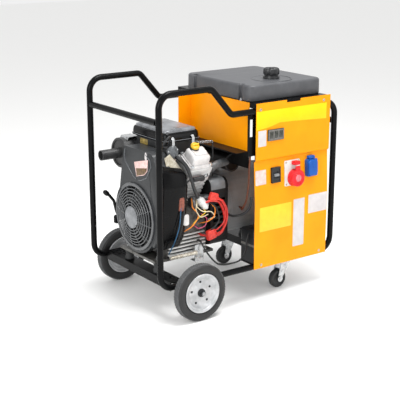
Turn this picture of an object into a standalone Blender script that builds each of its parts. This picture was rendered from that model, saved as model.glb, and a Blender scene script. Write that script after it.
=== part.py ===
"""Wheeled engine driven generator set: a V-twin petrol engine and an alternator in a bent tube frame.

+X runs along the crankshaft from the fan end to the alternator end, -Y is the side of the outlet
panel, +Z is up. The origin lies on the floor, below the centre of the frame. Metres throughout.
"""
from math import cos, pi, radians, sin

import bmesh
import bpy
from mathutils import Matrix, Vector

GAP = 0.0003            # clearance between pieces that touch

# frame
TUBE_R = 0.0125         # frame tube
LOOP_Y = 0.25           # centre plane of each side loop
END_X = 0.44            # centre of the loops' upright tubes, at both ends
BASE_Z = 0.146          # centre of the bottom tubes
HUMP_Z = 0.90           # centre of the raised rail over the engine
RAIL_Z = 0.79           # centre of the lower rail beside the tank
HUMP_END_X = -0.20
RAIL_START_X = -0.104
LOOP_BEND = 0.055
KINK_BEND = 0.03
CROSS_Z = 0.795         # cross tube at the fan end
CHANNEL_DROP = 0.021    # channels: below and above the centre of the bottom tubes
CHANNEL_RISE = 0.014
CHANNEL_WALL = 0.004
REAR_CHANNEL_X = (-0.385, -0.325)
FRONT_CHANNEL_X = (0.185, 0.275)

BATTERY_X = (0.030, 0.180)
BATTERY_Y = (-0.234, -0.150)
BATTERY_H = 0.102

# wheels
WHEEL_R = 0.115
WHEEL_X = -0.282
TYRE_WIDTH = 0.043
TYRE_GAP = 0.0055       # from the side of the loop to the tyre
RIM_R = 0.077
AXLE_R = 0.008
RUN_GAP = 0.0005        # running clearance in a bore

# casters
SWIVEL_X = 0.23
CASTER_Y = 0.187
CASTER_R = 0.04
CASTER_TRAIL = 0.03
CASTER_WIDTH = 0.026
FORK_WALL = 0.0025
FORK_SIDE_GAP = 0.0035

# engine
CRANK_Z = 0.372
SHAFT_R = 0.015
MOUNT_R = 0.020
FOOT_Z = 0.2053         # underside of the engine's foot plate
FOOT_T = 0.010
ENGINE_Y = 0.12         # half width of the crankcase
CASE_X = (-0.3217, -0.128)
V_ANGLE = radians(31)   # each cylinder from the vertical
CYL_X = (-0.245, -0.14)
DECK_U = 0.085          # crank centre to cylinder base, along the cylinder
BARREL_L = 0.110
HEAD_L = 0.067
COVER_L = 0.062
CYL_HALF = 0.045
HEAD_HALF = 0.050
HOUSING_X = (-0.390, -0.322)
HOUSING_R = 0.150
HOUSING_WALL = 0.004
FAN_R = 0.112
DIP_X = -0.295
DIP_Z = 0.288
DIP_R = 0.005
DIP_DEPTH = 0.030
GUARD_R = 0.138
GUARD_DEPTH = 0.020

# alternator
ADAPTER_L = 0.0874
ADAPTER_HALF = 0.150
STATOR_L = 0.285
STATOR_R = 0.140
STATOR_BORE_R = 0.088
AIR_GAP = 0.001
COVER_DEPTH = 0.080

# exhaust
MUFFLER_X = 0.005
MUFFLER_Z = 0.560
MUFFLER_R = 0.036
DRUM_R = 0.062

# tank
TANK_X = (0.005, 0.385)
TANK_Y = (-0.230, 0.210)
TANK_BOTTOM = 0.823
TANK_TOP = 0.888
TANK_WALL = 0.004
CAP_XY = (0.19, -0.135)
CAP_R = 0.035
CAP_TOP = 0.938

# panels
SHEET = 0.002
PANEL_X = (0.009, 0.4015)
PANEL_Z = (0.138, 0.822)
RECESS_Z = (0.413, 0.594)
RECESS_DEPTH = 0.009
RECESS_STEP = 0.008
PLATE_X = 0.0005
PLATE_Y = (-0.230, 0.167)
PLATE_BOTTOM = 0.627
PLATE_FLANGE = 0.063
BRACKET_LOW = 0.612

TUBE_OUT = LOOP_Y + TUBE_R
CHANNEL_Z = (BASE_Z - CHANNEL_DROP, BASE_Z + CHANNEL_RISE)
PANEL_BACK = -(TUBE_OUT + GAP)
PANEL_FACE = PANEL_BACK - SHEET
CASE_END = CASE_X[1]
ADAPTER_X = (CASE_END + GAP, CASE_END + GAP + ADAPTER_L)
STATOR_X = (ADAPTER_X[1] + GAP, ADAPTER_X[1] + GAP + STATOR_L)
ENDCAP_X = (STATOR_X[1] + GAP, STATOR_X[1] + GAP + COVER_DEPTH)

PAINTS = {
    "black_paint": ((0.012, 0.012, 0.013), 0.35, 0.0),
    "black_plastic": ((0.010, 0.010, 0.011), 0.45, 0.0),
    "yellow_paint": ((0.96, 0.48, 0.010), 0.35, 0.0),
    "rubber": ((0.03, 0.03, 0.032), 0.8, 0.0),
    "zinc": ((0.60, 0.61, 0.62), 0.35, 0.9),
    "cast_aluminium": ((0.45, 0.45, 0.44), 0.5, 0.8),
    "steel": ((0.35, 0.35, 0.36), 0.35, 0.9),
    "silver_paint": ((0.62, 0.62, 0.61), 0.3, 0.3),
    "tank_plastic": ((0.05, 0.05, 0.052), 0.4, 0.0),
    "outlet_red": ((0.75, 0.02, 0.02), 0.35, 0.0),
    "outlet_blue": ((0.01, 0.10, 0.48), 0.35, 0.0),
    "cable_black": ((0.012, 0.012, 0.012), 0.6, 0.0),
    "cable_red": ((0.70, 0.03, 0.02), 0.45, 0.0),
    "cable_brown": ((0.10, 0.03, 0.015), 0.55, 0.0),
}


def clear_scene():
    for thing in list(bpy.data.objects):
        bpy.data.objects.remove(thing, do_unlink=True)


def paint(name):
    """The named material, made on first use."""
    material = bpy.data.materials.get(name)
    if material is None:
        colour, roughness, metallic = PAINTS[name]
        material = bpy.data.materials.new(name)
        material.use_nodes = True
        shader = material.node_tree.nodes["Principled BSDF"]
        shader.inputs["Base Color"].default_value = (*colour, 1.0)
        shader.inputs["Roughness"].default_value = roughness
        shader.inputs["Metallic"].default_value = metallic
        material.diffuse_color = (*colour, 1.0)
    return material


def finish(name, bm, material, centre=(0, 0, 0)):
    """Turn a bmesh, modelled around `centre`, into a named object with its origin there."""
    bmesh.ops.recalc_face_normals(bm, faces=bm.faces)
    mesh = bpy.data.meshes.new(name)
    bm.to_mesh(mesh)
    bm.free()
    mesh.shade_smooth()
    mesh.set_sharp_from_angle(angle=radians(35))
    mesh.materials.append(paint(material))
    thing = bpy.data.objects.new(name, mesh)
    thing.location = centre
    bpy.context.scene.collection.objects.link(thing)
    return thing


def hide(thing):
    thing.hide_render = True
    thing.display_type = "WIRE"


def combine(target, tools, operation):
    for tool in tools:
        step = target.modifiers.new(operation.lower(), "BOOLEAN")
        step.operation = operation
        step.object = tool
        hide(tool)
    return target


def cut(target, *tools):
    return combine(target, tools, "DIFFERENCE")


def weld(target, *tools):
    return combine(target, tools, "UNION")


def soften(thing, width, segments=2):
    step = thing.modifiers.new("soft edges", "BEVEL")
    step.width = width
    step.segments = segments
    step.limit_method = "ANGLE"
    step.angle_limit = radians(40)
    return thing


def block(name, material, x, y, z):
    """A box between the low and high values of each axis."""
    bm = bmesh.new()
    centre = Vector([(low + high) / 2 for low, high in (x, y, z)])
    size = [high - low for low, high in (x, y, z)]
    bmesh.ops.create_cube(bm, size=1.0, matrix=Matrix.Diagonal((*size, 1.0)))
    return finish(name, bm, material, centre)


def extruded(name, material, outline, axis, span):
    """A flat outline pushed along an axis: 'X' takes (y, z), 'Y' takes (x, z), 'Z' takes (x, y)."""
    place = {"X": lambda a, b, t: (t, a, b), "Y": lambda a, b, t: (a, t, b), "Z": lambda a, b,
             t: (a, b, t)}[axis]
    bm = bmesh.new()
    low = [bm.verts.new(place(a, b, span[0])) for a, b in outline]
    high = [bm.verts.new(place(a, b, span[1])) for a, b in outline]
    bm.faces.new(low)
    bm.faces.new(high)
    for i in range(len(outline)):
        j = (i + 1) % len(outline)
        bm.faces.new((low[i], low[j], high[j], high[i]))
    return finish(name, bm, material)


def turned(name, material, profile, centre, axis="Z", steps=32):
    """A profile of (radius, height) points turned about an axis through `centre`.

    Points at radius 0 close the ends; a profile without them is a ring, closed on itself.
    """
    turn = {"Z": Matrix(), "X": Matrix.Rotation(pi / 2, 4, "Y"), "Y": Matrix.Rotation(-pi / 2, 4, "X")}[axis]
    bm = bmesh.new()
    rings = []
    for radius, height in profile:
        count = steps if radius > 0 else 1
        angles = [2 * pi * k / steps for k in range(count)]
        rings.append([bm.verts.new(turn @ Vector((radius * cos(a), radius * sin(a),
                                                  height))) for a in angles])
    solid = profile[0][0] == 0
    pairs = list(zip(rings, rings[1:])) + ([] if solid else [(rings[-1], rings[0])])
    for first, second in pairs:
        for k in range(steps):
            n = (k + 1) % steps
            corners = [first[k % len(first)], first[n % len(first)], second[n % len(second)],
                       second[k % len(second)]]
            bm.faces.new(list(dict.fromkeys(corners)))
    return finish(name, bm, material, centre)


def rod(name, material, start, end, radius, steps=16):
    """A round bar between two points."""
    start, end = Vector(start), Vector(end)
    along = end - start
    bm = bmesh.new()
    bmesh.ops.create_cone(bm, cap_ends=True, segments=steps, radius1=radius, radius2=radius,
                          depth=along.length,
                          matrix=along.to_track_quat("Z", "Y").to_matrix().to_4x4())
    return finish(name, bm, material, (start + end) / 2)


def rounded(points, radii, closed=False, steps=6):
    """A path through `points` whose corners are arcs of the given radii."""
    points = [Vector(p) for p in points]
    path = []
    count = len(points)
    for i, corner in enumerate(points):
        radius = radii[i] if isinstance(radii, (list, tuple)) else radii
        if not closed and i in (0, count - 1) or radius == 0:
            path.append(corner)
            continue
        before = (points[i - 1] - corner).normalized()
        after = (points[(i + 1) % count] - corner).normalized()
        half = before.angle(after) / 2
        middle = corner + (before + after).normalized() * radius / sin(half)
        start = corner + before * radius * cos(half) / sin(half) - middle
        axis = before.cross(after).normalized()
        sweep = pi - 2 * half
        path += [middle + Matrix.Rotation(-sweep * k / steps, 3, axis) @ start for k in range(steps + 1)]
    return path


def pipe(name, material, path, radius, closed=False, sides=12):
    """A round tube or bar swept along a path, as a mesh, so that brackets can be welded to it."""
    bm = bmesh.new()
    count = len(path)
    rings = []
    side = None
    for i, point in enumerate(path):
        before = path[i - 1] if closed or i else point
        after = path[(i + 1) % count] if closed or i < count - 1 else point
        ahead = (after - before).normalized()
        side = ahead.orthogonal() if side is None else side - ahead * side.dot(ahead)
        side.normalize()
        other = ahead.cross(side)
        ring = [side * cos(2 * pi * k / sides) + other * sin(2 * pi * k / sides) for k in range(sides)]
        rings.append([bm.verts.new(point + radius * spoke) for spoke in ring])
    for first, second in zip(rings, rings[1:] + (rings[:1] if closed else [])):
        for k in range(sides):
            n = (k + 1) % sides
            bm.faces.new((first[k], first[n], second[n], second[k]))
    if not closed:
        bm.faces.new(rings[0])
        bm.faces.new(rings[-1])
    return finish(name, bm, material)


def cord(name, material, points, radius):
    """A free cable: a smooth curve through its points, as a round tube with filled ends.

    A point halfway along the first and last stretch keeps the two ends square to what they meet.
    """
    inner = [Vector(p) for p in points]
    first, last = inner[0], inner[-1]
    inner[1:1] = [(first + inner[1]) / 2]
    inner[-1:-1] = [(last + inner[-2]) / 2]
    knots = [2 * first - inner[1]] + inner + [2 * last - inner[-2]]
    path = []
    for a, b, c, d in zip(knots, knots[1:], knots[2:], knots[3:]):
        pieces = max(2, round((c - b).length / (5 * radius)))
        for k in range(pieces):
            t = k / pieces
            path.append(0.5 * (2 * b + (c - a) * t + (2 * a - 5 * b + 4 * c - d) * t ** 2
                               + (3 * b - a - 3 * c + d) * t ** 3))
    path.append(knots[-2])
    curve = bpy.data.curves.new(name, "CURVE")
    curve.dimensions = "3D"
    curve.bevel_depth = radius
    curve.bevel_resolution = 2
    curve.use_fill_caps = True
    line = curve.splines.new("POLY")
    line.points.add(len(path) - 1)
    for knot, point in zip(line.points, path):
        knot.co = (*point, 1.0)
    curve.materials.append(paint(material))
    thing = bpy.data.objects.new(name, curve)
    bpy.context.scene.collection.objects.link(thing)
    return thing


def flat_arc(centre, radius, start, end, steps=8):
    """Points of an arc in a flat outline, from one angle to another in degrees."""
    angles = [radians(start + (end - start) * k / steps) for k in range(steps + 1)]
    return [(centre[0] + radius * cos(a), centre[1] + radius * sin(a)) for a in angles]


def rounded_box(low, high, radius, steps=4):
    """The outline of a rectangle with round corners."""
    corners = ((high[0] - radius, high[1] - radius), (low[0] + radius, high[1] - radius),
               (low[0] + radius, low[1] + radius), (high[0] - radius, low[1] + radius))
    outline = []
    for k, corner in enumerate(corners):
        outline += flat_arc(corner, radius, 90 * k, 90 * k + 90, steps)
    return outline


# ---- frame ----------------------------------------------------------------------------------------

def side_loop(name, side):
    """One bent tube: up the fan end, over the engine, down to the lower rail and back underneath.

    A plate that carries the axle is welded under its bottom tube.
    """
    corners = [(-END_X, BASE_Z), (-END_X, HUMP_Z), (HUMP_END_X, HUMP_Z), (RAIL_START_X, RAIL_Z),
               (END_X, RAIL_Z), (END_X, BASE_Z)]
    bends = [LOOP_BEND, LOOP_BEND, KINK_BEND, KINK_BEND, LOOP_BEND, LOOP_BEND]
    path = rounded([(x, side * LOOP_Y, z) for x, z in corners], bends, closed=True)
    loop = pipe(name, "black_paint", path, TUBE_R, closed=True, sides=10)
    reach = AXLE_R + 0.010
    outline = [(WHEEL_X - 0.030, BASE_Z), (WHEEL_X + 0.030, BASE_Z)]
    outline += flat_arc((WHEEL_X, WHEEL_R), reach, 0, -180)
    y = side * LOOP_Y
    plate = extruded(name + " axle plate", "black_paint", outline, "Y", (y - 0.004, y + 0.004))
    bore = rod(name + " axle bore", "black_paint", (WHEEL_X, y - 0.02, WHEEL_R), (WHEEL_X, y + 0.02, WHEEL_R),
               AXLE_R + GAP)
    cut(plate, bore)
    return weld(loop, plate)


def cross_tube(name, x, z):
    reach = LOOP_Y - TUBE_R - GAP
    return rod(name, "black_paint", (x, -reach, z), (x, reach, z), TUBE_R)


def cross_channel(name, x):
    """A folded channel, open below, between the bottom tubes."""
    reach = LOOP_Y - TUBE_R - GAP
    z = CHANNEL_Z
    w = CHANNEL_WALL
    outline = [(x[0], z[0]), (x[0], z[1]), (x[1], z[1]), (x[1], z[0]), (x[1] - w, z[0]), (x[1] - w, z[1] - w),
               (x[0] + w, z[1] - w), (x[0] + w, z[0])]
    return extruded(name, "black_paint", outline, "Y", (-reach, reach))


def battery_tray():
    """A plate for the battery, welded to the front channel beside the near bottom tube."""
    reach = LOOP_Y - TUBE_R - GAP
    return block("battery_tray", "black_paint", (BATTERY_X[0] - 0.004, FRONT_CHANNEL_X[0] + 0.002),
                 (-reach, BATTERY_Y[1] + 0.006), (BASE_Z - 0.0015, BASE_Z + 0.0015))


# ---- wheels ---------------------------------------------------------------------------------------

def wheel_faces(side):
    """The y of the tyre's inner and outer face."""
    inner = TUBE_OUT + TYRE_GAP
    return side * inner, side * (inner + TYRE_WIDTH)


def tyre(name, side):
    half = TYRE_WIDTH / 2
    seat = RIM_R + GAP
    profile = [(seat, -half + 0.006), (seat, half - 0.006), (RIM_R + 0.012, half - 0.001),
               (WHEEL_R - 0.012, half), (WHEEL_R - 0.002, half - 0.010), (WHEEL_R, 0.0),
               (WHEEL_R - 0.002, -half + 0.010), (WHEEL_R - 0.012, -half), (RIM_R + 0.012, -half + 0.001)]
    middle = sum(wheel_faces(side)) / 2
    return turned(name, "rubber", profile, (WHEEL_X, middle, WHEEL_R), "Y", 36)


def rim(name, side):
    """A pressed steel disc with a deep rim, a hub tube and a ring of holes."""
    half = TYRE_WIDTH / 2
    bore = AXLE_R + RUN_GAP
    s = side
    profile = [(bore, -half - 0.003), (bore, half + 0.003), (0.015, half + 0.003), (0.017, half - 0.006),
               (0.030, half - 0.011), (0.056, half - 0.011), (0.066, half - 0.007), (RIM_R, half - 0.006),
               (RIM_R, -half + 0.006), (RIM_R - 0.003, -half + 0.006), (RIM_R - 0.006, half - 0.014),
               (0.015, half - 0.016), (0.015, -half - 0.003)]
    profile = [(radius, s * height) for radius, height in profile]
    middle = sum(wheel_faces(side)) / 2
    disc = turned(name, "silver_paint", profile, (WHEEL_X, middle, WHEEL_R), "Y", 26)
    for k in range(6):
        angle = 2 * pi * (k + 0.43) / 6
        x = WHEEL_X + 0.045 * cos(angle)
        z = WHEEL_R + 0.045 * sin(angle)
        cut(disc, rod(f"{name} hole {k}", "silver_paint", (x, middle - 0.03, z), (x, middle + 0.03, z),
                      0.0065, 8))
    return disc


def axle():
    reach = abs(wheel_faces(1)[1]) + 0.003 + GAP
    return rod("axle", "steel", (WHEEL_X, -reach, WHEEL_R), (WHEEL_X, reach, WHEEL_R), AXLE_R)


# ---- casters --------------------------------------------------------------------------------------

PLATE_Z = (CHANNEL_Z[0] - GAP - 0.004, CHANNEL_Z[0] - GAP)
CROWN_Z = (2 * CASTER_R + 0.028, 2 * CASTER_R + 0.032)
CASTER_X = SWIVEL_X - CASTER_TRAIL


def caster_plate(name, side):
    """The plate that is bolted under the channel, with the swivel's boss below it."""
    y = side * CASTER_Y
    plate = block(name, "zinc", (SWIVEL_X - 0.042, SWIVEL_X + 0.042), (y - 0.032, y + 0.032), PLATE_Z)
    boss = rod(name + " boss", "zinc", (SWIVEL_X, y, CROWN_Z[1] + GAP), (SWIVEL_X, y, PLATE_Z[1] - 0.001),
               0.019, 20)
    return weld(plate, boss)


def caster_fork(name, side):
    """Two legs under a crown, with the wheel's pin riveted through them."""
    y = side * CASTER_Y
    inner = CASTER_WIDTH / 2 + FORK_SIDE_GAP
    outer = inner + FORK_WALL
    crown = block(name, "zinc", (SWIVEL_X - 0.024, SWIVEL_X + 0.024), (y - outer, y + outer), CROWN_Z)
    outline = [(SWIVEL_X + 0.024, CROWN_Z[1] - 0.0005), (SWIVEL_X - 0.024, CROWN_Z[1] - 0.0005)]
    outline += flat_arc((CASTER_X, CASTER_R), 0.011, 170, 350, 6)
    for face in (-1, 1):
        low, high = sorted((y + face * (inner - 0.0001), y + face * outer))
        weld(crown, extruded(f"{name} leg {face}", "zinc", outline, "Y", (low, high)))
    pin = rod(name + " pin", "steel", (CASTER_X, y - outer - 0.003, CASTER_R),
              (CASTER_X, y + outer + 0.003, CASTER_R), 0.004, 12)
    return weld(crown, pin)


def caster_wheel(name, side):
    half = CASTER_WIDTH / 2
    bore = 0.004 + RUN_GAP
    profile = [(bore, -half), (bore, half), (0.011, half), (0.013, half - 0.003), (0.027, half - 0.003),
               (0.029, half), (CASTER_R - 0.004, half), (CASTER_R, half - 0.005), (CASTER_R, -half + 0.005),
               (CASTER_R - 0.004, -half), (0.029, -half), (0.027, -half + 0.003), (0.013, -half + 0.003),
               (0.011, -half)]
    return turned(name, "rubber", profile, (CASTER_X, side * CASTER_Y, CASTER_R), "Y", 20)


# ---- engine ---------------------------------------------------------------------------------------

def bank(u, v, side):
    """(y, z) of a point u along a cylinder from the crank and v across it, inwards."""
    y = -u * sin(V_ANGLE) + v * cos(V_ANGLE)
    z = CRANK_Z + u * cos(V_ANGLE) + v * sin(V_ANGLE)
    return -side * y, z


def rubber_mount(name, x, y, top):
    low = CHANNEL_Z[1] + GAP
    height = top - GAP - low
    profile = [(0, 0), (MOUNT_R, 0), (MOUNT_R, 0.004), (MOUNT_R - 0.005, height / 2),
               (MOUNT_R, height - 0.004), (MOUNT_R, height), (0, height)]
    return turned(name, "rubber", profile, (x, y, low), "Z", 16)


def crankcase():
    """A cast case with sloped decks for the cylinders, a foot plate and a back plate for the fan."""
    deck = [bank(DECK_U, -HEAD_HALF, -1), bank(DECK_U, 0.030, -1)]
    near = [(-ENGINE_Y, FOOT_Z + FOOT_T - 0.001), (-ENGINE_Y, 0.31)] + deck
    outline = near + [(-y, z) for y, z in reversed(near)]
    case = extruded("crankcase", "cast_aluminium", outline, "X", (CASE_X[0] + 0.001, CASE_X[1]))
    foot = block("crankcase foot", "cast_aluminium", (REAR_CHANNEL_X[0], -0.100), (-0.13, 0.13),
                 (FOOT_Z, FOOT_Z + FOOT_T))
    back = extruded("crankcase back", "cast_aluminium", housing_outline(0.0), "X",
                    (CASE_X[0], CASE_X[0] + 0.003))
    weld(case, foot, back)
    for k in range(4):
        z = 0.235 + 0.020 * k
        for side in (-1, 1):
            face = side * ENGINE_Y
            low, high = sorted((face - side * 0.001, face + side * 0.004))
            weld(case, block(f"crankcase rib {k} {side}", "cast_aluminium", (-0.30, -0.15), (low, high),
                             (z, z + 0.006)))
    bore = rod("crankcase bore", "steel", (-0.4, 0, CRANK_Z), (0, 0, CRANK_Z), SHAFT_R + RUN_GAP, 20)
    guide = rod("crankcase guide", "steel", (DIP_X, ENGINE_Y - DIP_DEPTH - GAP, DIP_Z),
                (DIP_X, ENGINE_Y + 0.02, DIP_Z), DIP_R + RUN_GAP, 12)
    return cut(case, bore, guide)


def cylinder(name, side):
    """A finned barrel with its head, standing on one deck."""
    lift = DECK_U + GAP
    top = lift + BARREL_L
    inset = 0.008
    outline = [(lift, -CYL_HALF), (lift + 0.008, -CYL_HALF)]
    for k in range(5):
        u = lift + 0.008 + 0.020 * k
        outline += [(u, -CYL_HALF + inset), (u + 0.008, -CYL_HALF + inset), (u + 0.008, -CYL_HALF),
                    (u + 0.020, -CYL_HALF)]
    outline = [(u, v) for u, v in outline if u <= top] + [(top, -HEAD_HALF), (top + HEAD_L, -HEAD_HALF)]
    mirrored = [(u, -v) for u, v in reversed(outline)]
    flat = [bank(u, v, side) for u, v in outline + mirrored]
    return soften(extruded(name, "cast_aluminium", flat, "X", CYL_X), 0.001, 1)


def valve_cover(name, side):
    """A pressed cover, tapered to its top, on the end of a head."""
    start = DECK_U + BARREL_L + HEAD_L + 2 * GAP
    outline = [(start, -HEAD_HALF), (start + 0.008, -HEAD_HALF), (start + 0.008, -CYL_HALF),
               (start + COVER_L, -0.033), (start + COVER_L, 0.033), (start + 0.008, CYL_HALF),
               (start + 0.008, HEAD_HALF), (start, HEAD_HALF)]
    flat = [bank(u, v, side) for u, v in outline]
    return soften(extruded(name, "silver_paint", flat, "X", (CYL_X[0] + 0.004, CYL_X[1] - 0.004)), 0.003)


def shroud():
    """The black cowl that leads the fan's air over the near cylinder."""
    start = DECK_U + GAP
    outline = [bank(u, v, -1) for u, v in ((start, -0.060), (0.225, -0.060), (0.262, -0.030), (0.262, 0.020),
                                           (start, 0.020))]
    return soften(extruded("cylinder_shroud", "black_plastic", outline, "X",
                           (CASE_X[0] + 0.003 + GAP, CYL_X[0] - 0.002)), 0.012, 3)


def housing_outline(inset):
    """The fan housing seen along the crank: round below, narrowing to a flat top."""
    radius = HOUSING_R - inset
    near, far, top = -0.100, 0.082, 0.650
    corner = 0.018
    outline = flat_arc((0, CRANK_Z), radius, 40, -220, 26)
    outline += flat_arc((near + inset + corner, top - inset - corner), corner, 180, 90, 3)
    outline += flat_arc((far - inset - corner, top - inset - corner), corner, 90, 0, 3)
    return outline


def blower_housing():
    shell = extruded("blower_housing", "black_plastic", housing_outline(0.0), "X", HOUSING_X)
    room = extruded("blower_housing room", "black_plastic", housing_outline(HOUSING_WALL), "X",
                    (HOUSING_X[0] + HOUSING_WALL, HOUSING_X[1] + 0.02))
    inlet = rod("blower_housing inlet", "black_plastic", (HOUSING_X[0] - 0.02, 0, CRANK_Z),
                (HOUSING_X[0] + 0.02, 0, CRANK_Z), FAN_R + 0.010, 32)
    return cut(shell, room, inlet)


def fan_guard():
    """Rings and ribs over the air inlet, round a closed middle."""
    x = HOUSING_X[0] - GAP
    outer = [(GUARD_R, 0), (GUARD_R, -0.006), (GUARD_R - 0.010, -GUARD_DEPTH * 0.6),
             (GUARD_R - 0.020, -GUARD_DEPTH * 0.6), (GUARD_R - 0.020, -0.004), (FAN_R + 0.006, -0.002),
             (FAN_R + 0.006, 0)]
    guard = turned("fan_guard", "black_plastic", outer, (x, 0, CRANK_Z), "X", 28)
    thick = 0.004
    inner_r, outer_r = 0.045, GUARD_R - 0.014
    front = thick - GUARD_DEPTH
    fall = GUARD_DEPTH * 0.5 / (outer_r - inner_r)
    for k, radius in enumerate((0.062, 0.080, 0.098)):
        back = front + fall * (radius - inner_r)
        ring = [(radius, back - thick), (radius + 0.006, back - thick), (radius + 0.006, back),
                (radius, back)]
        weld(guard, turned(f"fan_guard ring {k}", "black_plastic", ring, (x, 0, CRANK_Z), "X", 18))
    middle = [(0, front - thick), (inner_r, front - thick), (inner_r, front), (0, front)]
    weld(guard, turned("fan_guard middle", "black_plastic", middle, (x, 0, CRANK_Z), "X", 18))
    for k in range(8):
        angle = 2 * pi * (k + 0.5) / 8
        spoke = Vector((0, cos(angle), sin(angle)))
        centre = Vector((x + front - thick / 2, 0, CRANK_Z))
        base = centre + spoke * (inner_r - 0.004)
        tip = centre + spoke * outer_r + Vector((fall * (outer_r - inner_r), 0, 0))
        weld(guard, rod(f"fan_guard rib {k}", "black_plastic", base, tip, 0.0035, 4))
    return guard


def crankshaft():
    start = HOUSING_X[0] + 0.006
    shaft = rod("crankshaft", "steel", (start, 0, CRANK_Z), (ENDCAP_X[1] - 0.030, 0, CRANK_Z), SHAFT_R, 20)
    return shaft


def bladed_wheel(name, material, x, radius, blades, disc):
    """A disc on the shaft with straight blades on one face."""
    bore = SHAFT_R + GAP
    profile = [(bore, 0), (bore, disc), (radius, disc), (radius, 0)]
    wheel = turned(name, material, profile, (x[0], 0, CRANK_Z), "X", 32)
    for k in range(blades):
        angle = 2 * pi * k / blades
        spoke = Vector((0, cos(angle), sin(angle)))
        length = radius - 0.045
        bm = bmesh.new()
        bmesh.ops.create_cube(bm, size=1.0, matrix=Matrix.Diagonal((x[1] - x[0] - 0.001, length, 0.003, 1)))
        blade = finish(f"{name} blade {k}", bm, material)
        blade.rotation_euler = (angle, 0, 0)
        blade.location = Vector(((x[0] + x[1]) / 2 + 0.0005, 0, CRANK_Z)) + spoke * (0.043 + length / 2)
        weld(wheel, blade)
    return wheel


def flywheel_fan():
    return bladed_wheel("flywheel_fan", "cast_aluminium", (-0.332, -0.372), FAN_R, 10, -0.008)


def starter_motor():
    """A motor beside the near cylinder, flanged to the adapter."""
    profile = [(0, 0), (0.020, 0), (0.020, -0.010), (0.024, -0.012), (0.024, -0.085), (0.020, -0.090),
               (0, -0.090)]
    return turned("starter_motor", "cast_aluminium", profile, (CASE_END, -0.138, 0.432), "X", 20)


def air_cleaner_base():
    """The tray of the air cleaner, on a neck that stands between the cylinders."""
    tray = block("air_cleaner_base", "black_plastic", (-0.31, -0.14), (-0.08, 0.085), (0.615, 0.6747))
    side = block("air_cleaner_base side", "black_plastic", (-0.3099, -0.251), (0.08, 0.105), (0.6151, 0.6746))
    neck_top = bank(DECK_U, 0.030, -1)[1]
    neck = block("air_cleaner_base neck", "black_plastic", (-0.300, -0.258), (-0.013, 0.013),
                 (neck_top + GAP, 0.616))
    weld(tray, side, neck)
    room = block("air_cleaner_base room", "black_plastic", (-0.304, -0.146), (-0.074, 0.079), (0.621, 0.70))
    return cut(tray, room)


def air_cleaner_cover():
    z = (0.675, 0.715)
    outline = rounded_box((-0.313, -0.100), (-0.137, 0.150), 0.022)
    cover = soften(extruded("air_cleaner_cover", "silver_paint", outline, "Z", z), 0.005)
    inner = rounded_box((-0.298, -0.085), (-0.152, 0.135), 0.015)
    return cut(cover, extruded("air_cleaner_cover room", "silver_paint", inner, "Z",
                               (z[0] - 0.01, z[1] - 0.010)))


def dipstick():
    """The dipstick in the far side of the crankcase, a bent rod with a ring handle that points up."""
    path = rounded([(DIP_X, ENGINE_Y - DIP_DEPTH, DIP_Z), (DIP_X, 0.190, DIP_Z),
                    (DIP_X, 0.215, DIP_Z + 0.12)], 0.03, steps=4)
    stick = pipe("dipstick", "steel", path, DIP_R, sides=10)
    ring = turned("dipstick ring", "black_plastic", [(0.012, -0.004), (0.020, -0.004), (0.020, 0.004),
                (0.012, 0.004)], (DIP_X, 0.219, DIP_Z + 0.134), "Y", 16)
    return weld(stick, ring)


def muffler():
    """A drum across the set, with the exhaust pipe from the near head and a foot on the alternator."""
    profile = [(0, -0.12), (MUFFLER_R - 0.006, -0.12), (MUFFLER_R, -0.114), (MUFFLER_R, 0.164),
               (MUFFLER_R - 0.006, 0.17), (0, 0.17)]
    drum = turned("muffler", "black_paint", profile, (MUFFLER_X, 0, MUFFLER_Z), "Y", 28)
    head = bank(DECK_U + BARREL_L + HEAD_L / 2, 0, -1)
    path = rounded([(CYL_X[1] + GAP, head[0], head[1]), (-0.085, head[0], head[1]),
                    (MUFFLER_X - 0.01, -0.085, MUFFLER_Z)], 0.03)
    feed = pipe("muffler feed", "black_paint", path, 0.016)
    crest = CRANK_Z + STATOR_R
    foot = block("muffler foot", "black_paint", (-0.012, 0.022), (-0.012, 0.012),
                 (crest + GAP, MUFFLER_Z - MUFFLER_R + 0.004))
    return weld(drum, feed, foot)


def silencer():
    """The round silencer beside the air cleaner, with its tail pipe towards the fan end."""
    x, y, z = -0.36, 0.168, 0.597
    profile = [(0, 0.100), (DRUM_R - 0.004, 0.100), (DRUM_R, 0.096), (DRUM_R, 0.004), (DRUM_R - 0.004, 0),
               (DRUM_R - 0.010, 0), (DRUM_R - 0.012, 0.006), (0, 0.006)]
    drum = turned("silencer", "black_paint", profile, (x, y, z), "X", 32)
    tail = rod("silencer tail", "black_paint", (-END_X - 0.004, y, z), (x + 0.02, y, z), 0.021, 20)
    arm = block("silencer arm", "black_paint", (-0.306, -0.276), (0.105 + GAP, y - 0.030), (0.625, 0.650))
    weld(drum, tail, arm)
    bore = rod("silencer bore", "black_paint", (-0.6, y, z), (x + 0.015, y, z), 0.018, 20)
    return cut(drum, bore)


# ---- alternator -----------------------------------------------------------------------------------

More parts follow.
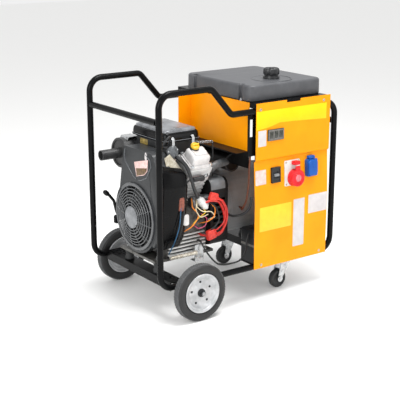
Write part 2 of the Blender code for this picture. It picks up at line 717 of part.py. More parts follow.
def adapter():
    """The cast ring between engine and alternator, with air slots on both sides."""
    low, high = CRANK_Z - 0.137, CRANK_Z + STATOR_R - 0.002
    ring = extruded("adapter", "black_paint", rounded_box((-ADAPTER_HALF, low), (ADAPTER_HALF, high), 0.030,
                                                          3),
                    "X", ADAPTER_X)
    room = rod("adapter room", "black_paint", (ADAPTER_X[0] - 0.01, 0, CRANK_Z),
               (ADAPTER_X[1] + 0.01, 0, CRANK_Z), 0.118, 32)
    cut(ring, room)
    for side in (-1, 1):
        for k in range(6):
            z = CRANK_Z + 0.0215 * (k - 2.5)
            low_y, high_y = sorted((side * 0.09, side * 0.20))
            cut(ring, block(f"adapter slot {side} {k}", "black_paint",
                            (ADAPTER_X[0] + 0.014, ADAPTER_X[1] - 0.014), (low_y, high_y),
                            (z - 0.006, z + 0.006)))
    return ring


def cooling_fan():
    return bladed_wheel("cooling_fan", "black_plastic", (ADAPTER_X[0] + 0.016, ADAPTER_X[1] - 0.016), 0.108,
                        10, 0.006)


def stator():
    """The alternator's body, a ribbed tube with feet that stand on the rubber mounts."""
    length = STATOR_L
    profile = [(STATOR_BORE_R, 0), (STATOR_R, 0), (STATOR_R, 0.030), (STATOR_R - 0.004, 0.034),
               (STATOR_R - 0.004, length - 0.034), (STATOR_R, length - 0.030), (STATOR_R, length),
               (STATOR_BORE_R, length)]
    body = turned("alternator_stator", "black_paint", profile, (STATOR_X[0], 0, CRANK_Z), "X", 36)
    middle = sum(FRONT_CHANNEL_X) / 2
    for side in (-1, 1):
        low_y, high_y = sorted((side * 0.060, side * 0.115))
        weld(body, block(f"alternator_stator foot {side}", "black_paint",
                         (middle - 0.030, STATOR_X[1] - 0.004), (low_y, high_y), (FOOT_Z, CRANK_Z - 0.095)))
    return body


def end_cover():
    """The domed cover at the far end of the alternator, open at its back for air."""
    depth = COVER_DEPTH
    profile = [(STATOR_R - 0.006, 0), (STATOR_R, 0), (STATOR_R, depth - 0.020), (STATOR_R - 0.020, depth),
               (0.050, depth),
               (0.050, depth - 0.004), (STATOR_R - 0.024, depth - 0.006), (STATOR_R - 0.006, depth - 0.024)]
    return turned("alternator_end_cover", "black_paint", profile, (ENDCAP_X[0], 0, CRANK_Z), "X", 36)


def rotor():
    bore = SHAFT_R + GAP
    radius = STATOR_BORE_R - AIR_GAP
    length = STATOR_L - 0.060
    profile = [(bore, 0), (radius, 0), (radius, length), (bore, length)]
    return turned("alternator_rotor", "steel", profile, (STATOR_X[0] + 0.030, 0, CRANK_Z), "X", 32)


# ---- tank and panels ------------------------------------------------------------------------------

def tank():
    """A hollow moulded tank, lower at its edge, with two clamp notches and a filler neck."""
    x, y = TANK_X, TANK_Y
    body = extruded("fuel_tank", "tank_plastic", rounded_box((x[0], y[0]), (x[1], y[1]), 0.030), "Z",
                    (TANK_BOTTOM, TANK_TOP))
    soften(body, 0.010, 3)
    for k, middle in enumerate((0.140, -0.165)):
        cut(body, block(f"fuel_tank notch {k}", "tank_plastic", (x[0] - 0.01, x[0] + 0.014),
                        (middle - 0.012, middle + 0.012), (TANK_BOTTOM + 0.010, TANK_TOP + 0.01)))
    neck = rod("fuel_tank neck", "tank_plastic", (*CAP_XY, TANK_TOP - 0.002), (*CAP_XY, TANK_TOP + 0.014),
               CAP_R - 0.008, 24)
    weld(body, neck)
    wall = 0.018
    room = extruded("fuel_tank room", "tank_plastic", rounded_box((x[0] + wall, y[0] + wall),
                (x[1] - wall, y[1] - wall), 0.016), "Z", (TANK_BOTTOM + TANK_WALL, TANK_TOP - TANK_WALL))
    filler = rod("fuel_tank filler", "tank_plastic", (*CAP_XY, TANK_TOP - 0.02), (*CAP_XY, TANK_TOP + 0.04),
                 CAP_R - 0.013, 24)
    return cut(body, room, filler)


def fuel_cap():
    """A cap over the neck, with grips round its edge."""
    low = TANK_TOP + GAP
    top = CAP_TOP - low
    inner = CAP_R - 0.008 + RUN_GAP
    seat = 0.014 + GAP
    profile = [(0, seat), (inner, seat), (inner, 0), (CAP_R, 0), (CAP_R, top - 0.008), (CAP_R - 0.006, top),
               (0, top)]
    cap = turned("fuel_cap", "black_plastic", profile, (*CAP_XY, low), "Z", 24)
    for k in range(6):
        angle = 2 * pi * k / 6
        spot = (CAP_XY[0] + (CAP_R + 0.003) * cos(angle), CAP_XY[1] + (CAP_R + 0.003) * sin(angle))
        cut(cap, rod(f"fuel_cap grip {k}", "black_plastic", (*spot, low + 0.012), (*spot, CAP_TOP + 0.01),
                     0.007, 8))
    return cap


def tank_tray():
    """A folded pan that lies across the two lower rails and carries the tank."""
    low = RAIL_Z + TUBE_R + GAP
    top = TANK_BOTTOM - GAP
    front = PLATE_X + SHEET + GAP
    y = TUBE_OUT - 0.0005
    pan = block("tank_tray", "black_paint", (front, TANK_X[1] - 0.003), (-y, y), (low, top))
    room = block("tank_tray room", "black_paint", (front + 0.003, TANK_X[1] - 0.006), (-y + 0.003, y - 0.003),
                 (low - 0.01, top - 0.003))
    return cut(pan, room)


def front_panel():
    """The outlet panel: one folded sheet on the near loop, with a sloped recess for the outlets."""
    inner = PANEL_BACK + RECESS_DEPTH
    low, high = PANEL_Z
    step = RECESS_Z[1]
    foot = RECESS_Z[0]
    front = [(PANEL_FACE, low), (PANEL_FACE, foot), (inner - SHEET, step - RECESS_STEP), (PANEL_FACE, step),
             (PANEL_FACE, high)]
    back = [(PANEL_BACK, high), (PANEL_BACK, step - 0.0008), (inner, step - RECESS_STEP - 0.0008),
            (PANEL_BACK, foot + 0.0008),
            (PANEL_BACK, low)]
    sheet = extruded("front_panel", "yellow_paint", front + back, "X", PANEL_X)
    notch = block("front_panel notch", "yellow_paint", (0.165, 0.238), (-0.3, -0.2), (0.812, 0.83))
    return cut(sheet, notch)


def end_plate():
    """The plate above the muffler, between engine and tank, with a wide flange at its far edge."""
    x = PLATE_X
    high = TANK_BOTTOM - GAP
    far = PLATE_Y[1]
    outline = [(x, PLATE_Y[0]), (x, far - SHEET), (x - PLATE_FLANGE, far - SHEET), (x - PLATE_FLANGE, far),
               (x + SHEET, far),
               (x + SHEET, PLATE_Y[0])]
    return extruded("end_plate", "yellow_paint", outline, "Z", (PLATE_BOTTOM, high))


def panel_bracket():
    """A flat black bracket with a window, welded under the near rail."""
    high = RAIL_Z - TUBE_R - GAP
    plate = block("panel_bracket", "black_paint", (-0.022, 0.030), (-LOOP_Y - 0.0015, -LOOP_Y + 0.0015),
                  (BRACKET_LOW, high))
    window = block("panel_bracket window", "black_paint", (-0.012, 0.003), (-0.3, -0.2), (0.690, 0.760))
    return cut(plate, window)


def slope_y(z, out=0.0):
    """The y of the recess's sloped face at a height, moved outwards by `out`."""
    inner = PANEL_BACK + RECESS_DEPTH - SHEET
    share = (z - RECESS_Z[0]) / (RECESS_Z[1] - RECESS_STEP - RECESS_Z[0])
    return PANEL_FACE + share * (inner - PANEL_FACE) - out


def on_slope(name, material, outline, depth, centre):
    """An outline that stands on the sloped face: (across, up the slope), pushed out by `depth`."""
    x, z = centre
    high = RECESS_Z[1] - RECESS_STEP
    tilt = Vector((0, slope_y(high) - slope_y(RECESS_Z[0]), high - RECESS_Z[0])).normalized()
    out = Vector((0, -tilt.z, tilt.y))
    base = Vector((x, slope_y(z), z)) + out * (GAP + depth[0])
    bm = bmesh.new()
    low = [bm.verts.new(base + Vector((a, 0, 0)) + tilt * b) for a, b in outline]
    high = [bm.verts.new(base + Vector((a, 0, 0)) + tilt * b + out * (depth[1] - depth[0])) for a,
            b in outline]
    bm.faces.new(low)
    bm.faces.new(high)
    for i in range(len(outline)):
        j = (i + 1) % len(outline)
        bm.faces.new((low[i], low[j], high[j], high[i]))
    return finish(name, bm, material)


RED_AT = (0.214, 0.497)
RED_R = 0.034
RED_DEPTH = 0.024
BLUE_AT = (0.303, 0.527)
BLUE_DEPTH = 0.018


def outlets():
    """The round red outlet and the small blue one, each with a sprung lid hinged at its top."""
    plate = on_slope("red_outlet", "outlet_red", rounded_box((-0.050, -0.032), (0.032, 0.074), 0.004, 2),
                     (0, 0.004), RED_AT)
    drum = on_slope("red_outlet drum", "outlet_red", flat_arc((0, 0), RED_R, 0, 345, 23), (0.003, RED_DEPTH),
                    RED_AT)
    hollow = on_slope("red_outlet hollow", "outlet_red", flat_arc((0, 0), 0.027, 0, 345, 23), (0.006, 0.060),
                      RED_AT)
    weld(plate, drum)
    cut(plate, hollow)
    lid = on_slope("red_outlet_lid", "outlet_red", flat_arc((0, 0), RED_R + 0.001, 0, 345, 23),
                   (RED_DEPTH + GAP, RED_DEPTH + 0.007), RED_AT)
    tab = on_slope("red_outlet_lid tab", "outlet_red", rounded_box((-0.013, 0.028), (0.013, 0.051), 0.003, 2),
                   (RED_DEPTH + GAP, RED_DEPTH + 0.0068), RED_AT)
    weld(lid, tab)
    box = on_slope("blue_outlet", "outlet_blue", rounded_box((-0.027, -0.036), (0.027, 0.036), 0.005, 2),
                   (0, BLUE_DEPTH), BLUE_AT)
    hole = on_slope("blue_outlet hollow", "outlet_blue", flat_arc((0, 0), 0.019, 0, 342, 19), (0.004, 0.060),
                    BLUE_AT)
    cut(box, hole)
    blue_lid = on_slope("blue_outlet_lid", "outlet_blue",
                        rounded_box((-0.025, -0.033), (0.025, 0.033), 0.006, 2),
                        (BLUE_DEPTH + GAP, BLUE_DEPTH + 0.005), BLUE_AT)
    return plate, lid, box, blue_lid


BREAKER_AT = (0.1155, 0.5215)


def breaker():
    """The circuit breaker behind its window, with a rocking lever."""
    body = on_slope("breaker", "black_plastic", rounded_box((-0.0235, -0.032), (0.0235, 0.032), 0.003, 2),
                    (0, 0.006), BREAKER_AT)
    slot = on_slope("breaker slot", "black_plastic", rounded_box((-0.012, -0.014), (0.012, 0.014), 0.001, 1),
                    (0.002, 0.02), BREAKER_AT)
    cut(body, slot)
    lever = on_slope("breaker_lever", "black_plastic", rounded_box((-0.0113, -0.005), (0.0113, 0.005),
                0.002, 2), (0.0045, 0.014), BREAKER_AT)
    return body, lever


def meter():
    """The digital meter, a bezel flat on the panel."""
    y = PANEL_FACE - GAP
    face = block("digital_meter", "black_plastic", (0.066, 0.149), (y - 0.006, y), (0.6665, 0.7125))
    return soften(face, 0.002, 2)


def battery():
    """The starter battery, standing on its tray."""
    low = BASE_Z + 0.0015 + GAP
    return soften(block("battery", "black_plastic", BATTERY_X, BATTERY_Y, (low, low + BATTERY_H)), 0.002, 1)


def cables():
    """The cables that hang free beside the engine and behind the panel's edge."""
    cord("cable_loop", "cable_black", [(-0.180, -ENGINE_Y - GAP, 0.268), (-0.180, -0.150, 0.268),
                                       (-0.172, -0.190, 0.225), (-0.140, -0.203, 0.183),
                                       (-0.106, -0.203, 0.167), (-0.060, -0.203, 0.163),
                                       (-0.015, -0.203, 0.168), (0.012, -0.203, 0.200),
                                       (0.020, -0.202, 0.248), (0.033, -0.200, 0.274),
                                       (0.050, -0.200, 0.266), (0.050, -0.200, 0.2502)], 0.0035)
    cord("starter_cable", "cable_red", [(-0.190, -0.1625, 0.432), (-0.190, -0.174, 0.432),
                                        (-0.178, -0.183, 0.436), (-0.150, -0.186, 0.440),
                                        (-0.110, -0.188, 0.425), (-0.085, -0.186, 0.365),
                                        (-0.092, -0.184, 0.305), (-0.125, -0.170, 0.284),
                                        (-0.163, -0.140, 0.288), (-0.163, -ENGINE_Y - GAP, 0.288)], 0.005)
    cord("alternator_harness", "cable_brown", [(-0.008, -LOOP_Y, BRACKET_LOW - GAP),
                                               (-0.008, -0.249, 0.595), (-0.004, -0.240, 0.550),
                                               (-0.001, -0.235, 0.500), (-0.005, -0.228, 0.430),
                                               (-0.004, -0.200, 0.385), (0.016, -0.168, 0.372),
                                               (0.030, -0.152, 0.372), (0.030, -STATOR_R + 0.004 - 2 * GAP,
                0.372)], 0.004)


def build():
    clear_scene()
    side_loop("side_loop_near", -1)
    side_loop("side_loop_far", 1)
    cross_tube("cross_tube_rear", -END_X, CROSS_Z)
    cross_tube("cross_tube_front", END_X, CROSS_Z - 0.09)
    cross_channel("cross_channel_rear", REAR_CHANNEL_X)
    weld(cross_channel("cross_channel_front", FRONT_CHANNEL_X), battery_tray())
    axle()
    for tag, side in (("near", -1), ("far", 1)):
        tyre("tyre_" + tag, side)
        rim("rim_" + tag, side)
        caster_plate("caster_plate_" + tag, side)
        caster_fork("caster_fork_" + tag, side)
        caster_wheel("caster_wheel_" + tag, side)
        rubber_mount("engine_mount_" + tag, sum(REAR_CHANNEL_X) / 2, side * 0.105, FOOT_Z)
        rubber_mount("alternator_mount_" + tag, sum(FRONT_CHANNEL_X) / 2, side * 0.087, FOOT_Z)
        cylinder("cylinder_" + tag, side)
        valve_cover("valve_cover_" + tag, side)
    crankcase()
    shroud()
    blower_housing()
    fan_guard()
    crankshaft()
    flywheel_fan()
    starter_motor()
    air_cleaner_base()
    air_cleaner_cover()
    dipstick()
    muffler()
    silencer()
    adapter()
    cooling_fan()
    stator()
    end_cover()
    rotor()
    tank()
    fuel_cap()
    tank_tray()
    front_panel()
    end_plate()
    panel_bracket()
    outlets()
    breaker()
    meter()
    battery()
    cables()


build()
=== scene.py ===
"""Looks of the engine driven generator set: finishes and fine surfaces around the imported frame."""

import bmesh
import bpy
import numpy as np
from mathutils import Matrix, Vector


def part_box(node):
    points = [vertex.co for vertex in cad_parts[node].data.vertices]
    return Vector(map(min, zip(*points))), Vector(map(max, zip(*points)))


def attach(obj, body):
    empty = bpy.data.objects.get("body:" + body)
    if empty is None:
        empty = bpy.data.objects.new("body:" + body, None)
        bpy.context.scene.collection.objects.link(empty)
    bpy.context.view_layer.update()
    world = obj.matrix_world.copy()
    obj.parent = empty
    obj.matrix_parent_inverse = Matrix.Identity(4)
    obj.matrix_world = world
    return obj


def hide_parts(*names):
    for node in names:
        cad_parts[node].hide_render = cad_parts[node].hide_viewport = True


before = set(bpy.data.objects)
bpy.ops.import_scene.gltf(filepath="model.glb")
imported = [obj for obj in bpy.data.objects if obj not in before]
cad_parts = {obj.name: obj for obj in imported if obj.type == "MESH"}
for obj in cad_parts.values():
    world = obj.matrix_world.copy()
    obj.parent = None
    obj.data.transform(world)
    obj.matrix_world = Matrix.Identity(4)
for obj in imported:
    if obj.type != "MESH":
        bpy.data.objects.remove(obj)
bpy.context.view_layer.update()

# ---- studio ---------------------------------------------------------------------------------------
# A pale seamless floor and a white room, lit by three soft boxes: one high in front, one lower on the
# panel's side, and one over the top, so that black paint and yellow paint both get long highlights.

FAN_TO_PANEL = np.radians(-36.07)       # camera's turn round the set, 0 looks square at the panel
LOOKING_DOWN = np.radians(15.78)
AIM = np.array([-0.071, 0.0, 0.387])
STAND_OFF = 4.136
LENS_MM = 89.2

away = np.array([np.sin(FAN_TO_PANEL) * np.cos(LOOKING_DOWN), -np.cos(FAN_TO_PANEL) * np.cos(LOOKING_DOWN),
                 np.sin(LOOKING_DOWN)])
lens = bpy.data.cameras.new("camera")
lens.lens = LENS_MM
lens.sensor_width = 36.0
camera = bpy.data.objects.new("camera", lens)
camera.location = AIM + away * STAND_OFF
camera.rotation_euler = (np.pi / 2 - LOOKING_DOWN, 0.0, FAN_TO_PANEL)
bpy.context.scene.collection.objects.link(camera)
bpy.context.scene.camera = camera
bpy.context.scene.view_settings.view_transform = "Standard"


def linear(colour):
    """An sRGB hex colour, '#rrggbb', as linear red, green, blue and alpha."""
    value = np.array([int(colour[k:k + 2], 16) for k in (1, 3, 5)]) / 255.0
    value = np.where(value <= 0.04045, value / 12.92, ((value + 0.055) / 1.055) ** 2.4)
    return (*value.tolist(), 1.0)


def add(tree, kind, settings, links=()):
    """A shader node: settings fill its sockets or properties, links feed its sockets."""
    node = tree.nodes.new("ShaderNode" + kind)
    for key, value in settings.items():
        if isinstance(key, int) or key in node.inputs:
            node.inputs[key].default_value = value
        else:
            setattr(node, key, value)
    for socket, source in links:
        tree.links.new(source, node.inputs[socket])
    return node


room = bpy.data.worlds.new("white room")
room.use_nodes = True
room.node_tree.nodes["Background"].inputs["Color"].default_value = linear("#ffffff")
room.node_tree.nodes["Background"].inputs["Strength"].default_value = 0.88
bpy.context.scene.world = room

for name, power, size, place in (("front box", 66.0, 2.0, (-3.4, -1.5, 2.0)),
                                 ("panel box", 13.0, 2.0, (1.2, -3.2, 1.5)),
                                 ("top box", 90.0, 1.5, (0.2, -0.75, 3.3))):
    lamp = bpy.data.lights.new(name, "AREA")
    lamp.energy = power
    lamp.size = size
    holder = bpy.data.objects.new(name, lamp)
    holder.location = place
    toward = np.array([0.0, 0.0, 0.45]) - np.array(place)
    flat = np.hypot(toward[0], toward[1])
    holder.rotation_euler = (np.arctan2(flat, -toward[2]), 0.0, np.arctan2(toward[1], toward[0]) - np.pi / 2)
    bpy.context.scene.collection.objects.link(holder)

floor_mesh = bpy.data.meshes.new("floor")
REACH = 14.0
floor_mesh.from_pydata([(-REACH, -REACH, 0), (REACH, -REACH, 0), (REACH, REACH, 0), (-REACH, REACH, 0)], [],
                       [(0, 1, 2, 3)])
floor = bpy.data.objects.new("floor", floor_mesh)
bpy.context.scene.collection.objects.link(floor)
paper = bpy.data.materials.new("seamless paper")
paper.use_nodes = True
paper.node_tree.nodes["Principled BSDF"].inputs["Base Color"].default_value = linear("#f7f7f6")
paper.node_tree.nodes["Principled BSDF"].inputs["Roughness"].default_value = 0.9
floor_mesh.materials.append(paper)

# ---- frame: two bent loops of steel tube ----------------------------------------------------------
# Cold bent steel tube, 25 mm across, welded and then powder coated satin black. The coat lies smooth
# with a fine orange peel, and it is a little duller where dust has settled.


def finish(name, tones, roughness, grain, lift, metallic=0.0, patch=60.0, spread=0.06, gloss=0.0, sheen=0.5):
    """A finish whose tone and gloss wander over patches, with a fine grain. Grain, lift, patch in mm."""
    material = bpy.data.materials.new(name)
    material.use_nodes = True
    tree = material.node_tree
    shader = tree.nodes["Principled BSDF"]
    place = add(tree, "TexCoord", {}).outputs["Object"]
    cloud = add(tree, "TexNoise", {"Scale": 1000.0 / patch, "Detail": 5.0, "Roughness": 0.6},
                [("Vector", place)])
    ramp = add(tree, "ValToRGB", {}, [("Fac", cloud.outputs["Fac"])])
    ramp.color_ramp.elements[0].position = 0.35
    ramp.color_ramp.elements[1].position = 0.68
    ramp.color_ramp.elements[0].color = linear(tones[0])
    ramp.color_ramp.elements[1].color = linear(tones[1])
    dull = add(tree, "MapRange", {"From Min": 0.3, "From Max": 0.7, "To Min": roughness - spread,
                                  "To Max": roughness + spread}, [("Value", cloud.outputs["Fac"])])
    speck = add(tree, "TexNoise", {"Scale": 1000.0 / grain, "Detail": 2.0}, [("Vector", place)])
    bump = add(tree, "Bump", {"Strength": 0.6, "Distance": lift / 1000.0}, [("Height", speck.outputs["Fac"])])
    tree.links.new(ramp.outputs["Color"], shader.inputs["Base Color"])
    tree.links.new(dull.outputs["Result"], shader.inputs["Roughness"])
    tree.links.new(bump.outputs["Normal"], shader.inputs["Normal"])
    shader.inputs["Metallic"].default_value = metallic
    shader.inputs["Coat Weight"].default_value = gloss
    shader.inputs["Specular IOR Level"].default_value = sheen
    shader.inputs["Coat Roughness"].default_value = 0.12
    material.diffuse_color = linear(tones[1])
    return material


powder_black = finish("powder coated steel black", ("#050506", "#0a0b0c"), 0.30, 2.2, 0.05, sheen=0.12)


def sew(name, skins, material, body, sharp=38.0, bevel=0.0):
    """One piece from skins, each (points, ends): points is a grid (rows, columns, 3) that is closed round its
    columns, and ends is "capped", "ring" (last row joins the first) or "open" (closed by its own poles)."""
    points, faces, start = [], [], 0
    for grid, ends in skins:
        rows, columns = grid.shape[:2]
        index = start + np.arange(rows * columns).reshape(rows, columns)
        body_rows = np.vstack([index, index[:1]]) if ends == "ring" else index
        here, there = body_rows[:-1], body_rows[1:]
        quads = np.stack([here, np.roll(here, -1, 1), np.roll(there, -1, 1), there], axis=-1).reshape(-1, 4)
        faces += quads.tolist()
        if ends == "capped":
            faces += [index[0][::-1].tolist(), index[-1].tolist()]
        points.append(grid.reshape(-1, 3))
        start += rows * columns
    mesh = bpy.data.meshes.new(name)
    mesh.from_pydata(np.concatenate(points).tolist(), [], faces)
    tidy = bmesh.new()
    tidy.from_mesh(mesh)
    bmesh.ops.remove_doubles(tidy, verts=tidy.verts, dist=0.00001)
    bmesh.ops.recalc_face_normals(tidy, faces=tidy.faces)
    tidy.to_mesh(mesh)
    tidy.free()
    mesh.shade_smooth()
    mesh.set_sharp_from_angle(angle=np.radians(sharp))
    mesh.materials.append(material)
    thing = bpy.data.objects.new(name, mesh)
    bpy.context.scene.collection.objects.link(thing)
    if bevel:
        soft = thing.modifiers.new("soft edges", "BEVEL")
        soft.width = bevel
        soft.segments = 2
        soft.limit_method = "ANGLE"
        soft.angle_limit = np.radians(35)
        soft.harden_normals = True
    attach(thing, body)
    return thing


def bent(corners, radii, steps=10, closed=False):
    """A path through corners, each turned by an arc of its own radius, centred on the corner's bisector."""
    corners = np.asarray(corners, float)
    count = len(corners)
    path = []
    for k, corner in enumerate(corners):
        if (not closed and k in (0, count - 1)) or radii[k] == 0:
            path.append(corner[None])
            continue
        back = corners[k - 1] - corner
        on = corners[(k + 1) % count] - corner
        back, on = back / np.linalg.norm(back), on / np.linalg.norm(on)
        half = np.arccos(np.clip(back @ on, -1, 1)) / 2
        middle = corner + (back + on) / np.linalg.norm(back + on) * radii[k] / np.sin(half)
        first = corner + back * radii[k] / np.tan(half) - middle
        last = corner + on * radii[k] / np.tan(half) - middle
        sweep = np.pi - 2 * half
        t = np.linspace(0, 1, steps + 1)[:, None]
        path.append(middle + (np.sin((1 - t) * sweep) * first + np.sin(t * sweep) * last) / np.sin(sweep))
    return np.concatenate(path)


def round_bar(path, radius, sides=18, closed=False, reference=(0.0, 1.0, 0.0)):
    """A circle of that radius carried along a path: point + radius (cos a * side + sin a * up)."""
    path = np.asarray(path, float)
    if closed:
        ahead = np.roll(path, -1, 0) - np.roll(path, 1, 0)
    else:
        ahead = np.gradient(path, axis=0)
    ahead /= np.linalg.norm(ahead, axis=1, keepdims=True)
    side = np.cross(ahead, np.asarray(reference, float))
    side /= np.linalg.norm(side, axis=1, keepdims=True)
    up = np.cross(side, ahead)
    angle = np.linspace(0, 2 * np.pi, sides, endpoint=False)
    radius = np.broadcast_to(radius, len(path))[:, None, None]
    ring = np.cos(angle)[None, :, None] * side[:, None] + np.sin(angle)[None, :, None] * up[:, None]
    return path[:, None] + radius * ring


def slab(outline, levels, origin, across, along, out):
    """A flat outline stacked at levels (height, inset): origin + a * across + b * along + height * out.

    The inset moves each side inwards by the same distance, mitred at the corners.
    """
    outline = np.asarray(outline, float)
    area = np.sum(outline[:, 0] * np.roll(outline[:, 1], -1) - np.roll(outline[:, 0], -1) * outline[:, 1])
    outline = outline if area > 0 else outline[::-1]
    edge = np.roll(outline, -1, 0) - outline
    normal = np.stack([-edge[:, 1], edge[:, 0]], 1)
    normal /= np.maximum(np.linalg.norm(normal, axis=1, keepdims=True), 1e-12)
    before = np.roll(normal, 1, 0)
    mitre = (normal + before) / (1 + np.sum(normal * before, 1, keepdims=True))
    across, along, out, origin = (np.asarray(v, float) for v in (across, along, out, origin))
    rows = []
    for height, inset in levels:
        flat = outline + inset * mitre
        rows.append(origin + flat[:, :1] * across + flat[:, 1:] * along + height * out)
    return np.stack(rows)


def soft_levels(low, high, radius, steps=4, both=True):
    """Levels of a slab with edges rounded by a quarter circle of that radius, above and, if both, below."""
    turn = np.linspace(0, np.pi / 2, steps + 1)
    top = [(high - radius + radius * np.sin(a), radius * (1 - np.cos(a))) for a in turn]
    under = [(low + high - h, i) for h, i in reversed(top)] if both else [(low, 0.0)]
    return under + top


def rectangle(low, high, radius, steps=5):
    """A rectangle's outline with corners of that radius."""
    corners = [(low[0], low[1]), (high[0], low[1]), (high[0], high[1]), (low[0], high[1])]
    return bent(corners, [radius] * 4, steps, closed=True)


def turned(profile, centre, axis, steps=64):
    """A profile of (radius, height) points turned about an axis that runs through the centre."""
    profile = np.asarray(profile, float)
    axis = np.asarray(axis, float)
    axis = axis / np.linalg.norm(axis)
    side = np.cross(axis, (0.0, 0.0, 1.0) if abs(axis[2]) < 0.9 else (1.0, 0.0, 0.0))
    side /= np.linalg.norm(side)
    up = np.cross(axis, side)
    angle = np.linspace(0, 2 * np.pi, steps, endpoint=False)
    spoke = np.cos(angle)[:, None] * side + np.sin(angle)[:, None] * up
    return (np.asarray(centre, float) + profile[:, 1][:, None, None] * axis
            + profile[:, 0][:, None, None] * spoke)


def extent(node):
    """The lowest and highest corner of a CAD node at rest, as two rows."""
    return np.array([list(corner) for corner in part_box(node)])


X, Y, Z = np.eye(3)
TUBE_R = 0.0125
loop_high = extent("side_loop_near")[1]
END_X = loop_high[0] - TUBE_R
BASE_Z, HUMP_Z = 0.146, loop_high[2] - TUBE_R
RAIL_Z = 0.79
HUMP_END_X, RAIL_START_X = -0.20, -0.104
LOOP_Y = 0.25
axle_low, axle_high = extent("axle")
WHEEL_X = (axle_low[0] + axle_high[0]) / 2
WHEEL_R = (axle_low[2] + axle_high[2]) / 2
AXLE_R = (axle_high[2] - axle_low[2]) / 2

for tag, side in (("near", -1), ("far", 1)):
    corners = [(-END_X, side * LOOP_Y, BASE_Z), (-END_X, side * LOOP_Y, HUMP_Z),
               (HUMP_END_X, side * LOOP_Y, HUMP_Z), (RAIL_START_X, side * LOOP_Y, RAIL_Z),
               (END_X, side * LOOP_Y, RAIL_Z), (END_X, side * LOOP_Y, BASE_Z)]
    path = bent(corners, [0.055, 0.055, 0.03, 0.03, 0.055, 0.055], 12, closed=True)
    reach = AXLE_R + 0.010
    arc = np.linspace(0, -np.pi, 19)
    outline = np.vstack([[(WHEEL_X - 0.030, BASE_Z), (WHEEL_X + 0.030, BASE_Z)],
                         np.stack([WHEEL_X + reach * np.cos(arc), WHEEL_R + reach * np.sin(arc)], 1)])
    plate = slab(outline, soft_levels(-0.004, 0.004, 0.001, 2), (0, side * LOOP_Y, 0), X, Z, Y)
    loop = sew("loop_tube_" + tag, [(round_bar(path, TUBE_R, 24, closed=True), "ring"), (plate, "capped")],
               powder_black, "frame")
    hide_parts("side_loop_" + tag)

# ---- cross tubes and channels ---------------------------------------------------------------------
# Two tubes and two folded channels tie the loops together, all welded and coated with the loops. The
# front channel also carries the battery's tray.


def dress(material, *nodes):
    """Give CAD nodes a finish: every material place of their objects holds it."""
    for node in nodes:
        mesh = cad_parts[node].data
        mesh.materials.clear()
        mesh.materials.append(material)


dress(powder_black, "cross_tube_rear", "cross_tube_front", "cross_channel_rear", "cross_channel_front",
      "tank_tray", "panel_bracket")

# ---- wheels ---------------------------------------------------------------------------------------
# Solid black rubber tyres pressed on two stamped steel discs, which are sprayed silver. The rubber is
# a dry grey black that has picked up dust, the disc has a rolled edge, a stepped web and five bolts.

tyre_rubber = finish("vulcanised tyre rubber", ("#141415", "#212122"), 0.55, 1.4, 0.10, patch=35.0)
tread_rubber = finish("dusty tread rubber", ("#454648", "#5a5b5c"), 0.8, 1.4, 0.10, patch=20.0)
rim_paint = finish("silver sprayed pressed steel", ("#a1a3a5", "#cbccce"), 0.40, 1.8, 0.04, metallic=0.35,
                   patch=45.0)
hub_steel = finish("zinc plated turned steel", ("#8d8f91", "#b4b6b8"), 0.32, 0.9, 0.03, metallic=0.9,
                   patch=12.0)
dark_nut = finish("blackened steel", ("#232426", "#35373a"), 0.42, 1.0, 0.03, metallic=0.6, patch=10.0)

RIM_R, HUB_END_Y, NUT_Y, TREAD_BLOCKS, DISC_BOLTS = 0.077, 0.314, 0.311, 60, 5

